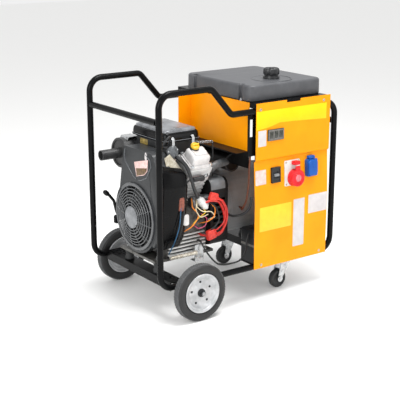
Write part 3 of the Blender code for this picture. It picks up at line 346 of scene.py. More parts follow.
for tag, side in (("near", -1), ("far", 1)):
    low, high = extent("tyre_" + tag)
    middle = (low + high) / 2
    tyre_r, half_wide = (high[2] - low[2]) / 2, (high[1] - low[1]) / 2
    t = np.linspace(0, 2 * np.pi, 61)[:-1]
    mid_r, half_deep = (tyre_r + RIM_R) / 2, (tyre_r - RIM_R) / 2
    across = half_wide * np.sign(np.cos(t)) * np.abs(np.cos(t)) ** 0.62
    radius = mid_r + half_deep * np.sign(np.sin(t)) * np.abs(np.sin(t)) ** 0.72
    tread = np.sin(t) > 0.8
    groove = 0.0014 * np.exp(-((np.abs(across) - 0.45 * half_wide) / 0.0015) ** 2)
    radius = radius - np.where(tread, groove, 0) - 0.0022 * np.clip(np.sin(t), 0, 1)
    wall = np.abs(np.cos(t)) > 0.6
    line = 0.0009 * np.exp(-((radius - mid_r - 0.008) / 0.0016) ** 2)
    across = across - np.sign(across) * np.where(wall, line, 0)
    tyre = sew("tyre_rubber_" + tag, [(turned(np.stack([radius, across], 1), middle, Y, 96), "ring")],
               tyre_rubber, "wheel_" + tag)
    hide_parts("tyre_" + tag)
    around = np.linspace(0, 2 * np.pi, TREAD_BLOCKS * 8, endpoint=False)
    strip = np.array([-0.64, -0.64, -0.60, -0.24, -0.20, -0.16, 0.16, 0.20, 0.24, 0.60, 0.64, 0.64])
    strip = half_wide * strip
    deep = np.array([0.0050, 0.0008, 0.0, 0.0, 0.0018, 0.0, 0.0, 0.0018, 0.0, 0.0, 0.0008, 0.0050])
    blocks = turned(np.stack([np.full(len(strip), tyre_r), strip], 1), middle, Y, len(around))
    notch = np.cos(TREAD_BLOCKS * around[None] + 2.0 * np.sign(strip)[:, None]) > 0.55
    gap = 0.0018 * notch * (deep < 0.0040)[:, None]
    shrink = 1 - np.maximum(deep[:, None], gap) / tyre_r
    blocks[..., ::2] = middle[::2] + (blocks[..., ::2] - middle[::2]) * shrink[..., None]
    sew("tyre_tread_" + tag, [(blocks, "ring")], tread_rubber, "wheel_" + tag)
    face = side * half_wide
    web = np.array([(0.0165, 0.40), (0.0225, 0.40), (0.026, 0.36), (0.030, 0.27), (0.034, 0.24),
                    (0.040, 0.26), (0.046, 0.27), (0.052, 0.26), (0.057, 0.30), (0.0605, 0.46),
                    (0.063, 0.60), (0.066, 0.66), (0.069, 0.66), (0.0715, 0.78), (0.0735, 0.92),
                    (0.0765, 0.98), (0.0790, 0.98), (0.0800, 0.92), (0.0785, 0.86), (0.0768, 0.80)])
    back = web[::-1] - [0.0012, 0.08]
    outer = np.vstack([web, [(0.0768, 0.0)], [(0.0755, 0.0)], back])
    shell = turned(outer * [1, face], middle, Y, 72)
    inner = np.vstack([web * [1, -face], [(0.0768, 0.0)], [(0.0755, 0.0)], back * [1, -face]])
    inner[:, 0] *= 0.9995
    shell_back = turned(inner, middle, Y, 72)
    heads = []
    for k in range(DISC_BOLTS):
        angle = 2 * np.pi * (k + 0.3) / DISC_BOLTS
        spot = middle + 0.045 * np.array([np.cos(angle), 0, np.sin(angle)])
        head = np.array([(0.0001, 0.40), (0.0030, 0.40), (0.0048, 0.36), (0.0052, 0.12), (0.0001, 0.12)])
        heads.append((turned(head * [1, face], spot, Y, 6), "open"))
    sew("disc_bolts_" + tag, heads, dark_nut, "wheel_" + tag)
    rim = sew("wheel_disc_" + tag, [(shell, "ring"), (shell_back, "ring")], rim_paint, "wheel_" + tag)
    hub_end = side * (HUB_END_Y - abs(middle[1]))
    sleeve = np.array([(0.0001, 1.0), (0.0090, 1.0), (0.0105, 0.96), (0.0120, 0.60), (0.0165, 0.55),
                       (0.0175, 0.20), (0.0175, -0.6), (0.0001, -0.6)])
    sew("hub_sleeve_" + tag, [(turned(sleeve * [1, hub_end], middle, Y, 48), "open")], dark_nut,
        "wheel_" + tag)
    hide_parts("rim_" + tag)
    nut = np.array([(0.0001, 1.0), (0.0035, 1.0), (0.0065, 0.94), (0.0075, 0.85), (0.0075, 0.55),
                    (0.0001, 0.55)])
    cap = turned(nut * [1, side * 0.0075], middle * [1, 0, 1] + [0, side * NUT_Y, 0], Y, 6)
    sew("axle_nut_" + tag, [(cap, "open")], hub_steel, "frame", bevel=0.0004)

dress(hub_steel, "axle")

# ---- casters --------------------------------------------------------------------------------------
# Two swivel casters with zinc plated pressed forks and grey black rubber wheels. The plating is bright
# with a faint rainbow haze, and the raceway is a turned ring between the plate and the fork's crown.

zinc_plate = finish("zinc plated pressed steel", ("#9fa2a4", "#c9cbcc"), 0.30, 1.2, 0.04, metallic=0.85,
                    patch=14.0)
caster_rubber = finish("moulded caster rubber", ("#1c1d1e", "#2a2b2c"), 0.6, 1.2, 0.06, patch=20.0)
dress(zinc_plate, "caster_plate_near", "caster_plate_far", "caster_fork_near", "caster_fork_far")
dress(caster_rubber, "caster_wheel_near", "caster_wheel_far")
mount_rubber = finish("bonded mount rubber", ("#1c1d1e", "#28292a"), 0.62, 1.5, 0.06, patch=20.0)
dress(mount_rubber, "engine_mount_near", "engine_mount_far", "alternator_mount_near", "alternator_mount_far")

# ---- engine castings ------------------------------------------------------------------------------
# The crankcase, barrels and heads are die cast aluminium left as cast: pale grey with a sandy grain; the
# crankcase is darker in random patches, painted shade for the shadows among the parts round it. Valve covers
# are smoother, sprayed silver.

cast_metal = finish("die cast aluminium", ("#8b8c8b", "#b5b6b5"), 0.46, 1.6, 0.16, metallic=0.55, patch=30.0)
# Painted shade: the crankcase's aluminium is darkened all over, in random patches, to stand in for the
# shadows among the parts crowded round it.
shade_darkened_cast = finish("cast aluminium darkened as painted shade", ("#363534", "#74726e"), 0.44, 1.6, 0.16, metallic=0.5,
                   patch=24.0)
cover_paint = finish("silver sprayed casting", ("#c6c7c6", "#dededd"), 0.40, 1.6, 0.07, metallic=0.25,
                     patch=35.0)
motor_case = finish("brushed starter case", ("#55575a", "#808285"), 0.36, 1.0, 0.05, metallic=0.8, patch=18.0)
# The crankcase takes the darkened aluminium, which is painted shade.
dress(shade_darkened_cast, "crankcase")
dress(cover_paint, "cylinder_near", "cylinder_far")
dress(cast_metal, "flywheel_fan")
dress(motor_case, "starter_motor")
dress(hub_steel, "crankshaft", "alternator_rotor")
dress(mount_rubber, "dipstick")

# ---- engine's black covers ------------------------------------------------------------------------
# The air cleaner's cover and the hand lever are coated semi gloss black. The cleaner's base and the
# alternator's fan are moulded nylon, a touch greyer and duller.

shroud_black = finish("stoved black pressed steel", ("#050506", "#0b0c0d"), 0.22, 2.0, 0.04, patch=70.0,
                      sheen=0.2)
nylon_black = finish("moulded black nylon", ("#1a1b1c", "#262829"), 0.46, 1.1, 0.06, patch=40.0)
dress(nylon_black, "air_cleaner_base", "cooling_fan")

# ---- alternator and exhaust -----------------------------------------------------------------------
# The alternator's shell is rolled sheet in a dark grey paint, its louvred adapter is cast and black.
# The muffler is rolled steel in high temperature black, matt and slightly browned by heat.

shell_paint = finish("dark grey machine enamel", ("#6e7072", "#808284"), 0.44, 2.4, 0.05, patch=90.0)
adapter_black = finish("black painted casting", ("#0b0b0c", "#151617"), 0.42, 1.8, 0.09, patch=40.0,
                       sheen=0.25)
exhaust_black = finish("high temperature matt black", ("#0a0a0a", "#151414"), 0.42, 1.5, 0.09, patch=35.0,
                       sheen=0.2)
dress(shell_paint, "alternator_stator", "alternator_end_cover")
dress(adapter_black, "adapter")
# The silencer's own dull grey; the muffler's seams further on also wear it as a painted highlight.
drum_grey_and_seam_highlight = finish("heat dulled steel sheet and painted seam highlight", ("#262627", "#3b3b3b"), 0.40, 1.5, 0.08, patch=30.0)
dress(exhaust_black, "muffler")
dress(drum_grey_and_seam_highlight, "silencer")

# ---- yellow sheet metal ---------------------------------------------------------------------------
# Folded sheet steel in a warm signal yellow powder coat, glossy with a soft orange peel and a slightly
# deeper tone where the coat is thick.

panel_yellow = finish("yellow powder coat", ("#f09300", "#f79d02"), 0.36, 2.6, 0.05, patch=160.0,
                      spread=0.03, sheen=0.16)
dress(panel_yellow, "front_panel", "end_plate")

# ---- fuel tank ------------------------------------------------------------------------------------
# One rotomoulded polyethylene tank, dark grey all through, with the mould's fine stipple on its skin
# and a waxy sheen. Its cap is moulded black.

tank_skin = finish("rotomoulded polyethylene", ("#424346", "#505154"), 0.46, 1.6, 0.10, patch=60.0)

# ---- outlets, meter, breaker and battery ----------------------------------------------------------
# Outlets are glossy moulded polyamide in signal red and blue. The meter, breaker and battery case
# are black plastic with a satin face.

outlet_red = finish("red moulded polyamide", ("#c8131b", "#d61c24"), 0.32, 1.4, 0.03, patch=40.0, sheen=0.35)
outlet_blue = finish("blue moulded polyamide", ("#054a9c", "#0a57ae"), 0.32, 1.4, 0.03, patch=40.0,
                     sheen=0.35)
case_black = finish("satin black housing plastic", ("#151618", "#1f2022"), 0.36, 0.9, 0.04, patch=30.0)
dress(outlet_blue, "blue_outlet")
dress(case_black, "digital_meter", "breaker", "battery")
dress(finish("grey switch lever", ("#6f7173", "#838587"), 0.4, 0.9, 0.03, patch=12.0), "breaker_lever")

# ---- cords ----------------------------------------------------------------------------------------
# Three stranded copper cables in soft PVC: the battery's black lead hangs in a loop under the adapter,
# the starter's red lead bows out from the motor, and the outlets' brown harness drops behind the panel.

cable_black = finish("black PVC cable sheath", ("#141516", "#202122"), 0.40, 1.0, 0.04, patch=25.0)
cable_red = finish("red PVC cable sheath", ("#b8201a", "#d02c22"), 0.38, 1.0, 0.04, patch=25.0)
cable_brown = finish("brown braided sheath", ("#3e1c0e", "#6c3414"), 0.52, 1.2, 0.10, patch=8.0)
GAP, ENGINE_Y, BRACKET_LOW, STATOR_R = 0.0003, 0.12, 0.612, 0.140


def smooth(knots, per=6):
    """A path through knots by Catmull and Rom's cubic, with a halfway knot added near both ends."""
    knots = np.asarray(knots, float)
    knots = np.vstack([knots[0], (knots[0] + knots[1]) / 2, knots[1:-1], (knots[-2] + knots[-1]) / 2,
                       knots[-1]])
    wide = np.vstack([2 * knots[0] - knots[1], knots, 2 * knots[-1] - knots[-2]])
    t = np.linspace(0, 1, per, endpoint=False)[:, None]
    a, b, c, d = (wide[k:len(wide) - 3 + k, None] for k in range(4))
    curve = 0.5 * (2 * b + (c - a) * t + (2 * a - 5 * b + 4 * c - d) * t ** 2
                   + (3 * b - a - 3 * c + d) * t ** 3)
    return np.vstack([curve.reshape(-1, 3), knots[-1]])


def frames_along(path):
    """A side vector for each point of a path, turned on from one point to the next with the least twist."""
    ahead = np.gradient(path, axis=0)
    ahead /= np.linalg.norm(ahead, axis=1, keepdims=True)
    side = np.cross(ahead[0], (0.31, 0.47, 0.82))
    sides = []
    for forward in ahead:
        side = side - forward * (side @ forward)
        side = side / np.linalg.norm(side)
        sides.append(side)
    return ahead, np.array(sides)


def flex(path, radius, sides=12):
    """A circle carried along a free path with the least twist: point + radius (cos a * side + sin a * up)."""
    path = np.asarray(path, float)
    ahead, side = frames_along(path)
    up = np.cross(side, ahead)
    angle = np.linspace(0, 2 * np.pi, sides, endpoint=False)
    radius = np.broadcast_to(radius, len(path))[:, None, None]
    ring = np.cos(angle)[None, :, None] * side[:, None] + np.sin(angle)[None, :, None] * up[:, None]
    return path[:, None] + radius * ring


battery_lead = [(-0.180, -ENGINE_Y - GAP, 0.268), (-0.180, -0.150, 0.268), (-0.172, -0.190, 0.225),
                (-0.140, -0.203, 0.183), (-0.106, -0.203, 0.167), (-0.060, -0.203, 0.163),
                (-0.015, -0.203, 0.168), (0.012, -0.203, 0.200), (0.020, -0.202, 0.248),
                (0.033, -0.200, 0.274), (0.050, -0.200, 0.266), (0.050, -0.200, 0.2502)]
starter_lead = [(-0.190, -0.1625, 0.432), (-0.190, -0.174, 0.432), (-0.178, -0.183, 0.436),
                (-0.150, -0.186, 0.440), (-0.110, -0.188, 0.425), (-0.085, -0.186, 0.365),
                (-0.092, -0.184, 0.305), (-0.125, -0.170, 0.284), (-0.163, -0.140, 0.288),
                (-0.163, -ENGINE_Y - GAP, 0.288)]
harness = [(-0.008, -LOOP_Y, BRACKET_LOW - GAP), (-0.008, -0.249, 0.595), (-0.004, -0.240, 0.550),
           (-0.001, -0.235, 0.500), (-0.005, -0.228, 0.430), (-0.004, -0.200, 0.385),
           (0.016, -0.168, 0.372), (0.030, -0.152, 0.372), (0.030, -STATOR_R + 0.004 - 2 * GAP, 0.372)]
for name, node, knots, radius, sheath, slot in (
        ("battery_lead", "cable_loop", battery_lead, 0.0035, cable_black, "cable_black"),
        ("starter_lead", "starter_cable", starter_lead, 0.005, cable_red, "cable_red"),
        ("outlet_harness", "alternator_harness", harness, 0.004, cable_brown, "cable_brown")):
    route = smooth(knots)
    lead = sew(name, [(flex(route, radius), "capped")], sheath, "frame")
    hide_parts(node)

# ---- tank's shape ---------------------------------------------------------------------------------
# The moulding has rounded shoulders, a faint ring round the filler where the cap's wrench swings, and
# two moulded slots on the engine's side, each with a plated bolt that holds the tank to its tray.

tank_low, tank_high = extent("fuel_tank")
tank_top = 0.888
cap_low, cap_high = extent("fuel_cap")
cap_at = (cap_low + cap_high) / 2
SLOT_WIDE, SLOT_DEEP, SLOT_Y = 0.024, 0.014, (0.140, -0.165)


def tank_outline(low, high, radius, slots):
    """A round-cornered rectangle whose left side is let in by square slots, each a centre and a depth."""
    corners = [(low[0], high[1]), (low[0], low[1]), (high[0], low[1]), (high[0], high[1])]
    radii = [radius] * 4
    side = []
    for centre, deep in sorted(slots, reverse=True):
        half = SLOT_WIDE / 2
        side += [(low[0], centre + half), (low[0] + deep, centre + half), (low[0] + deep, centre - half),
                 (low[0], centre - half)]
    corners = corners[:1] + side + corners[1:]
    radii = radii[:1] + [0.003] * len(side) + radii[1:]
    return bent(corners, radii, 4, closed=True)


outline = tank_outline(tank_low[:2], tank_high[:2], 0.030, [(y, SLOT_DEEP) for y in SLOT_Y])
levels = [(tank_low[2], 0.0045), (tank_low[2] + 0.0015, 0.0018), (tank_low[2] + 0.005, 0.0),
          (tank_low[2] + 0.030, 0.0004)]
levels += [(tank_top - 0.010 + 0.010 * np.sin(a), 0.0008 + 0.009 * (1 - np.cos(a)))
           for a in np.linspace(0, np.pi / 2, 6)]
shell = slab(outline, levels, (0, 0, 0), X, Y, Z)
crown = shell[-1]
heart = np.append((tank_low[:2] + tank_high[:2]) / 2, crown[0, 2])
rings = np.stack([heart + (crown - heart) * k + Z * 0.0022 * (1 - k ** 3)
                  for k in (0.985, 0.93, 0.8, 0.55, 0.3, 0.12, 0.004)])
moulding = np.concatenate([shell, rings])
ring_r = 0.082
lip = np.array([(ring_r + 0.0030, -0.0030), (ring_r + 0.0022, 0.0012), (ring_r + 0.0010, 0.0021),
                (ring_r - 0.0010, 0.0021), (ring_r - 0.0022, 0.0012), (ring_r - 0.0030, -0.0030)])
wrench_ring = turned(lip, (cap_at[0], cap_at[1], tank_top + 0.0012), Z, 96)
keep = (wrench_ring[..., 0] < tank_high[0] - 0.012) & (wrench_ring[..., 1] > tank_low[1] + 0.012)
wrench_ring[..., 2] = np.where(keep, wrench_ring[..., 2], np.minimum(wrench_ring[..., 2], tank_top - 0.004))
neck = np.array([(0.0001, -0.004), (0.036, -0.004), (0.036, 0.002), (0.030, 0.004), (0.027, 0.010),
                 (0.027, 0.0135), (0.0001, 0.0135)])
skins = [(moulding, "capped"), (wrench_ring, "ring"),
         (turned(neck, (cap_at[0], cap_at[1], tank_top), Z, 48), "open")]
tank = sew("tank_moulding", skins, tank_skin, "frame", sharp=34)
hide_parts("fuel_tank")

CAP_FLUTES, CAP_SIDES = 9, 108
flute = np.cos(CAP_FLUTES * np.linspace(0, 2 * np.pi, CAP_SIDES, endpoint=False))
cap_r = (cap_high[0] - cap_low[0]) / 2 - 0.001
cap_z = cap_high[2] - cap_low[2]
skirt = np.array([(0.0001, 0.0), (0.80, 0.0), (0.92, 0.03), (1.0, 0.05), (1.0, 0.20), (0.985, 0.235),
                  (0.86, 0.26), (0.84, 0.30), (0.86, 0.36), (0.97, 0.42), (0.99, 0.62), (0.97, 0.80),
                  (0.93, 0.86), (0.84, 0.90), (0.78, 0.90), (0.72, 0.86), (0.30, 0.86), (0.26, 0.93),
                  (0.22, 0.95), (0.0001, 0.95)])
fluted = np.array([0, 0, 0, 0, 0, 0, 0, 0, 0.3, 1, 1, 1, 0.8, 0.3, 0, 0, 0, 0, 0, 0])
cap = turned(skirt * [cap_r, cap_z], (cap_at[0], cap_at[1], cap_low[2]), Z, CAP_SIDES)
pull = 1 - 0.07 * fluted[:, None] * (0.5 + 0.5 * np.sign(flute) * np.abs(flute) ** 0.6)[None]
centre = np.array([cap_at[0], cap_at[1]])
cap[..., :2] = centre + (cap[..., :2] - centre) * pull[..., None]
tank_cap = sew("tank_cap", [(cap, "open")], case_black, "fuel_cap_body", sharp=40)
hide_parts("fuel_cap")

plated = finish("bright zinc plated bolt", ("#a9abad", "#d6d8d9"), 0.24, 0.8, 0.03, metallic=0.9, patch=6.0)


def bolt(name, at, axis, radius, height, body, material=None, washer=1.7):
    """A hexagon head with a chamfered crown on a round washer, standing on a face at `at`."""
    at, axis = np.asarray(at, float), np.asarray(axis, float)
    head = np.array([(0.0001, 0.25), (1.0, 0.25), (1.0, 0.86), (0.88, 1.0), (0.0001, 1.0)]) * [radius, height]
    plate = np.array([(0.0001, 0.0), (washer, 0.0), (washer, 0.18), (washer - 0.1, 0.25),
                      (0.0001, 0.25)]) * [radius, height]
    return sew(name, [(turned(head, at, axis, 6), "open"), (turned(plate, at, axis, 24), "open")],
               material or plated, body, sharp=25)


for k, y in enumerate(SLOT_Y):
    bolt(f"tank_bolt_{k}", (tank_low[0] + 0.0065, y, tank_low[2] + 0.0002), Z, 0.0048, 0.009, "frame")

# ---- panel's fittings -----------------------------------------------------------------------------
# A lighter yellow stripe is printed across the top of the panel, blank plates and stickers are stuck
# on below it, and four screws with washers hold the sheet to the frame.

panel_low = extent("front_panel")[0]
FACE_Y = panel_low[1]
RECESS_LOW, RECESS_HIGH, RECESS_STEP, RECESS_DEEP = 0.413, 0.594, 0.008, 0.009


def slope_y(z):
    """The y of the recess's face at a height: from the panel's plane at its foot to the step at its top."""
    share = (z - RECESS_LOW) / (RECESS_HIGH - RECESS_STEP - RECESS_LOW)
    return FACE_Y + share * RECESS_DEEP


rise = np.array([0, RECESS_DEEP, RECESS_HIGH - RECESS_STEP - RECESS_LOW])
rise /= np.linalg.norm(rise)
out_slope = np.array([0, -rise[2], rise[1]])


def on_panel(name, outline, thick, material):
    """A flat piece on the panel's plane, its outline in (x, z)."""
    skin = slab(outline, soft_levels(0.0, thick, thick * 0.3, 2, both=False), (0, FACE_Y, 0), X, Z, -Y)
    return sew(name, [(skin, "capped")], material, "frame", sharp=30)


def slope_point(at, across=0.0, up=0.0, out=0.0):
    """A point on the slope: at, moved across and up the slope and out from it."""
    return np.array([at[0] + across, slope_y(at[1]), at[1]]) + up * rise + (out + GAP) * out_slope


def on_slope(outline, levels, at):
    """A slab on the recess's slope, its outline (across, up the slope) about a point."""
    return slab(outline, levels, slope_point(at), X, rise, out_slope)


stripe_paint = finish("light yellow stripe ink", ("#f6c60c", "#fbce14"), 0.34, 1.6, 0.03, patch=90.0,
                      spread=0.03, sheen=0.16)
label_white = finish("white printed polyester label", ("#c2bdbd", "#cfcac9"), 0.42, 1.2, 0.02, patch=30.0)
label_yellow = finish("pale yellow polyester label", ("#efbd18", "#f4c622"), 0.42, 1.2, 0.02, patch=30.0)
label_rose = finish("faded rose label", ("#dab0aa", "#e6ccc7"), 0.45, 1.2, 0.02, patch=14.0)
stripe = [(0.0095, 0.716), (0.075, 0.722), (0.130, 0.7355), (0.200, 0.7335), (0.381, 0.7240),
          (0.381, 0.7900), (0.0095, 0.7900)]
on_panel("stripe", stripe, 0.0004, stripe_paint)
on_panel("label_low_left", rectangle((0.034, 0.293), (0.202, 0.395), 0.002, 3), 0.0004, label_yellow)
on_panel("label_strip", rectangle((0.214, 0.198), (0.274, 0.402), 0.003, 3), 0.0005, label_white)
on_panel("label_right", rectangle((0.296, 0.328), (0.400, 0.408), 0.002, 3), 0.0005, label_white)
on_panel("label_meter", rectangle((0.020, 0.648), (0.061, 0.712), 0.002, 3), 0.0004, label_white)
sticker = on_slope(rectangle((-0.027, -0.030), (0.027, 0.030), 0.002, 3),
                   soft_levels(0.0, 0.0005, 0.0002, 1, both=False), (0.0405, 0.520))
sew("label_breaker", [(sticker, "capped")], label_rose, "frame", sharp=32)
screw_steel = finish("zinc plated pan screw", ("#9b8f7a", "#cfc6b4"), 0.30, 0.8, 0.03, metallic=0.8,
                     patch=5.0)
for k, (x, z) in enumerate(((0.030, 0.797), (0.364, 0.802), (0.046, 0.152), (0.364, 0.152))):
    dome = np.array([(0.0001, 0.0), (0.0062, 0.0), (0.0062, 0.0009), (0.0045, 0.0011), (0.0043, 0.0022),
                     (0.0030, 0.0032), (0.0016, 0.0035), (0.0014, 0.0024), (0.0001, 0.0022)])
    sew(f"panel_screw_{k}", [(turned(dome, (x, FACE_Y, z), -Y, 24), "open")], screw_steel, "frame")

# ---- outlets, meter and breaker in detail ---------------------------------------------------------
# The red outlet is a drum on a pale grey flange with a sprung disc lid, the blue one a small box with a
# lid. The meter shows three dark windows in a bezel, the breaker a rocker in a raised frame.

flange_grey = finish("light grey moulded flange", ("#c9c8c4", "#dad9d5"), 0.40, 1.2, 0.03, patch=30.0)
window_dark = finish("tinted meter window", ("#1b1d16", "#34362a"), 0.14, 0.8, 0.01, patch=9.0, gloss=0.3)
bezel_grey = finish("grey moulded bezel", ("#5a5854", "#706d68"), 0.42, 0.9, 0.03, patch=12.0)
RED_AT, RED_R, RED_DEPTH = (0.214, 0.497), 0.034, 0.024
BLUE_AT, BLUE_DEPTH, BREAKER_AT = (0.303, 0.527), 0.018, (0.1155, 0.5215)

plate = on_slope(rectangle((-0.050, -0.032), (0.032, 0.074), 0.006),
                 soft_levels(0.0, 0.004, 0.0012, 3, both=False), RED_AT)
sew("red_outlet_flange", [(plate, "capped")], flange_grey, "frame")
cup = np.array([(0.027, RED_DEPTH), (0.027, 0.0065), (0.0001, 0.0065), (0.0001, 0.003), (0.0365, 0.003),
                (0.0365, 0.0055), (0.0345, 0.0070), (RED_R, 0.0085), (RED_R, RED_DEPTH - 0.001),
                (RED_R - 0.001, RED_DEPTH)])
drum = turned(cup, slope_point(RED_AT), out_slope, 64)
lug = on_slope(rectangle((-0.014, 0.0545), (0.014, 0.070), 0.003),
               soft_levels(0.003, 0.028, 0.002, 3, both=False), RED_AT)
pins = [(turned([(0.0001, 0.006), (0.0028, 0.006), (0.0028, 0.016), (0.0020, 0.018), (0.0001, 0.018)],
                slope_point(RED_AT, 0.015 * np.cos(a), 0.015 * np.sin(a)), out_slope, 12), "open")
        for a in np.radians((90, 162, 234, 306, 18))]
red = sew("red_outlet_drum", [(drum, "ring"), (lug, "capped")] + pins, outlet_red, "frame")
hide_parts("red_outlet")
lid_face = np.array([(0.0001, 0.0243), (0.0350, 0.0243), (0.0350, 0.0290), (0.0335, 0.0305),
                     (0.0300, 0.0310), (0.0270, 0.0302), (0.0190, 0.0298), (0.0180, 0.0310),
                     (0.0001, 0.0312)])
tab = on_slope(rectangle((-0.012, 0.026), (0.012, 0.0505), 0.003), soft_levels(0.0245, 0.0306, 0.0015, 3),
               RED_AT)
red_lid = sew("red_outlet_cover", [(turned(lid_face, slope_point(RED_AT), out_slope, 64), "open"),
                                   (tab, "capped")], outlet_red, "red_lid")
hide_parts("red_outlet_lid")
disc = turned([(0.0001, 0.0310), (0.0145, 0.0310), (0.0145, 0.0316), (0.0138, 0.0320), (0.0001, 0.0320)],
              slope_point(RED_AT), out_slope, 48)
lid_pink = finish("pale pink lid insert", ("#c45d64", "#d98086"), 0.4, 1.0, 0.02, patch=12.0)
sew("red_cover_disc", [(disc, "open")], lid_pink, "red_lid")
for k, (a, b) in enumerate(((-0.043, 0.067), (0.025, 0.067), (-0.043, -0.025))):
    screw = turned(dome * 0.7, slope_point(RED_AT, a, b, 0.0040), out_slope, 16)
    sew(f"flange_screw_{k}", [(screw, "open")], screw_steel, "frame")
lid_levels = [(BLUE_DEPTH + 0.0003, 0.0), (BLUE_DEPTH + 0.003, 0.0)]
lid_levels += [(BLUE_DEPTH + 0.003 + 0.004 * np.sin(a), 0.006 * (1 - np.cos(a)))
               for a in np.linspace(0.3, np.pi / 2, 4)]
blue_dome = on_slope(rectangle((-0.025, -0.033), (0.025, 0.033), 0.013, 6), lid_levels, BLUE_AT)
blue_lid = sew("blue_outlet_cover", [(blue_dome, "capped")], outlet_blue, "blue_lid")
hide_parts("blue_outlet_lid")
knuckle = on_slope(rectangle((-0.016, 0.0365), (0.016, 0.050), 0.004),
                   soft_levels(0.0, 0.016, 0.003, 3, both=False), BLUE_AT)
sew("blue_outlet_knuckle", [(knuckle, "capped")], outlet_blue, "frame")

meter_low = extent("digital_meter")[0]
windows = []
for k in range(3):
    start = 0.0735 + 0.0245 * k
    windows.append((slab(rectangle((start, 0.6765), (start + 0.019, 0.7050), 0.0015, 3),
                         [(0.0, 0.0), (0.0006, 0.0), (0.0009, 0.0004)], (0, meter_low[1], 0), X, Z, -Y),
                    "capped"))
sew("meter_windows", windows, window_dark, "frame")
lip = slab(rectangle((0.0675, 0.6680), (0.1475, 0.7110), 0.003, 3),
           [(-0.0002, 0.0), (0.0003, 0.0), (0.0005, 0.0003)], (0, meter_low[1], 0), X, Z, -Y)
sew("meter_bezel", [(lip, "capped")], bezel_grey, "frame")
rails = []
for a0, a1, b0, b1 in ((-0.0235, 0.0235, 0.026, 0.032), (-0.0235, 0.0235, -0.032, -0.026),
                       (-0.0235, -0.018, -0.032, 0.032), (0.018, 0.0235, -0.032, 0.032)):
    rails.append((on_slope(rectangle((a0, b0), (a1, b1), 0.001, 2),
                           [(0.0058, 0.0), (0.0078, 0.0), (0.0085, 0.0007)], BREAKER_AT), "capped"))
sew("breaker_frame", rails, case_black, "frame")

# ---- fan guard ------------------------------------------------------------------------------------
# A domed grille moulded in one piece of grey nylon: thin concentric slats on radial ribs round a solid
# middle, held on the housing by a wide rim.

guard_low, guard_high = extent("fan_guard")
GUARD_X, GUARD_R, CORE_R, GUARD_RIBS = guard_high[0], 0.138, 0.045, 12
DOME = GUARD_X - guard_low[0]
CRANK_Z = 0.372
guard_grey = finish("moulded grey nylon", ("#37393b", "#494b4e"), 0.20, 1.2, 0.05, patch=50.0, gloss=0.4)
core_grey = finish("pale grey nylon disc", ("#6a6c6f", "#8e9093"), 0.42, 1.6, 0.10, patch=30.0)


def dome_at(radius):
    """How far the grille stands out at a radius: full over the middle, falling as a cosine to the rim."""
    share = np.clip((np.asarray(radius) - CORE_R) / (GUARD_R - 0.010 - CORE_R), 0, 1)
    return 0.004 + (DOME - 0.004) * np.cos(share * np.pi / 2) ** 0.8


rim = np.array([(0.1385, 0.0003), (0.1385, 0.0050), (0.1370, 0.0065), (0.1300, 0.0070), (0.1260, 0.0060),
                (0.1250, 0.0003)])
centre = (GUARD_X, 0.0, CRANK_Z)
grille = [(turned(rim, centre, -X, 96), "ring")]
for radius in np.arange(0.055, 0.124, 0.0118):
    h = float(dome_at(radius))
    low_h = max(h - 0.006, 0.0004)
    slat = np.array([(radius - 0.0016, low_h), (radius + 0.0016, low_h), (radius + 0.0023, h - 0.0008),
                     (radius + 0.0014, h), (radius - 0.0014, h), (radius - 0.0021, h - 0.0008)])
    grille.append((turned(slat, centre, -X, 72), "ring"))
core = np.array([(0.0001, DOME - 0.0035), (CORE_R - 0.002, DOME - 0.0035), (CORE_R, DOME - 0.003),
                 (CORE_R, DOME - 0.0012), (CORE_R - 0.002, DOME), (0.012, DOME + 0.0006),
                 (0.0001, DOME + 0.0006)])
sew("guard_core", [(turned(core, centre, -X, 64), "open")], core_grey, "frame")
reach = np.linspace(CORE_R - 0.004, 0.130, 14)
for k in range(GUARD_RIBS):
    angle = 2 * np.pi * k / GUARD_RIBS + 0.13
    spoke = np.array([0.0, np.cos(angle), np.sin(angle)])
    across = np.array([0.0, -np.sin(angle), np.cos(angle)])
    top = dome_at(reach)
    corners = [(-0.0014, -0.0055), (0.0014, -0.0055), (0.0014, 0.0004), (-0.0014, 0.0004)]
    rows = [np.asarray(centre) + reach[:, None] * spoke + a * across
            - np.maximum(top + b, 0.0004)[:, None] * X for a, b in corners]
    grille.append((np.stack(rows, axis=1), "capped"))
guard = sew("fan_grille", grille, guard_grey, "frame", sharp=35)
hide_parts("fan_guard")

# ---- blower cowl ----------------------------------------------------------------------------------
# Pressed steel cowl round the fan. Its front is dark grey with an embossed frame that narrows towards
# the grille, its near side bulges round the cylinder in glossy black.

cowl_grey = finish("dark grey textured cowl", ("#232527", "#2e3032"), 0.38, 1.8, 0.12, patch=60.0, sheen=0.4)
dress(cowl_grey, "blower_housing")
housing_low = extent("blower_housing")[0]
FRONT_X = housing_low[0]
arc = np.radians(np.linspace(214, 131, 15))
inner_edge = np.stack([0.133 * np.cos(arc), CRANK_Z + 0.133 * np.sin(arc)], 1)
near_edge = bent([(-0.086, 0.470), (-0.086, 0.648), (-0.120, 0.648), (-0.154, 0.600), (-0.160, 0.500),
                  (-0.160, 0.400), (-0.150, 0.300), (-0.122, 0.262), (-0.108, 0.292)],
                 [0, 0.006, 0.03, 0.05, 0.05, 0.05, 0.05, 0.01, 0], 6)
cowl_outline = np.vstack([inner_edge[:-1], near_edge[1:-1]])
cheek = slab(cowl_outline, [(0.0008, 0.004), (0.0018, 0.0012), (0.004, 0.0), (0.060, 0.0), (0.066, 0.001)],
             (FRONT_X, 0, 0), Y, Z, X)
sew("cowl_cheek", [(cheek, "capped")], cowl_grey, "frame", sharp=50)
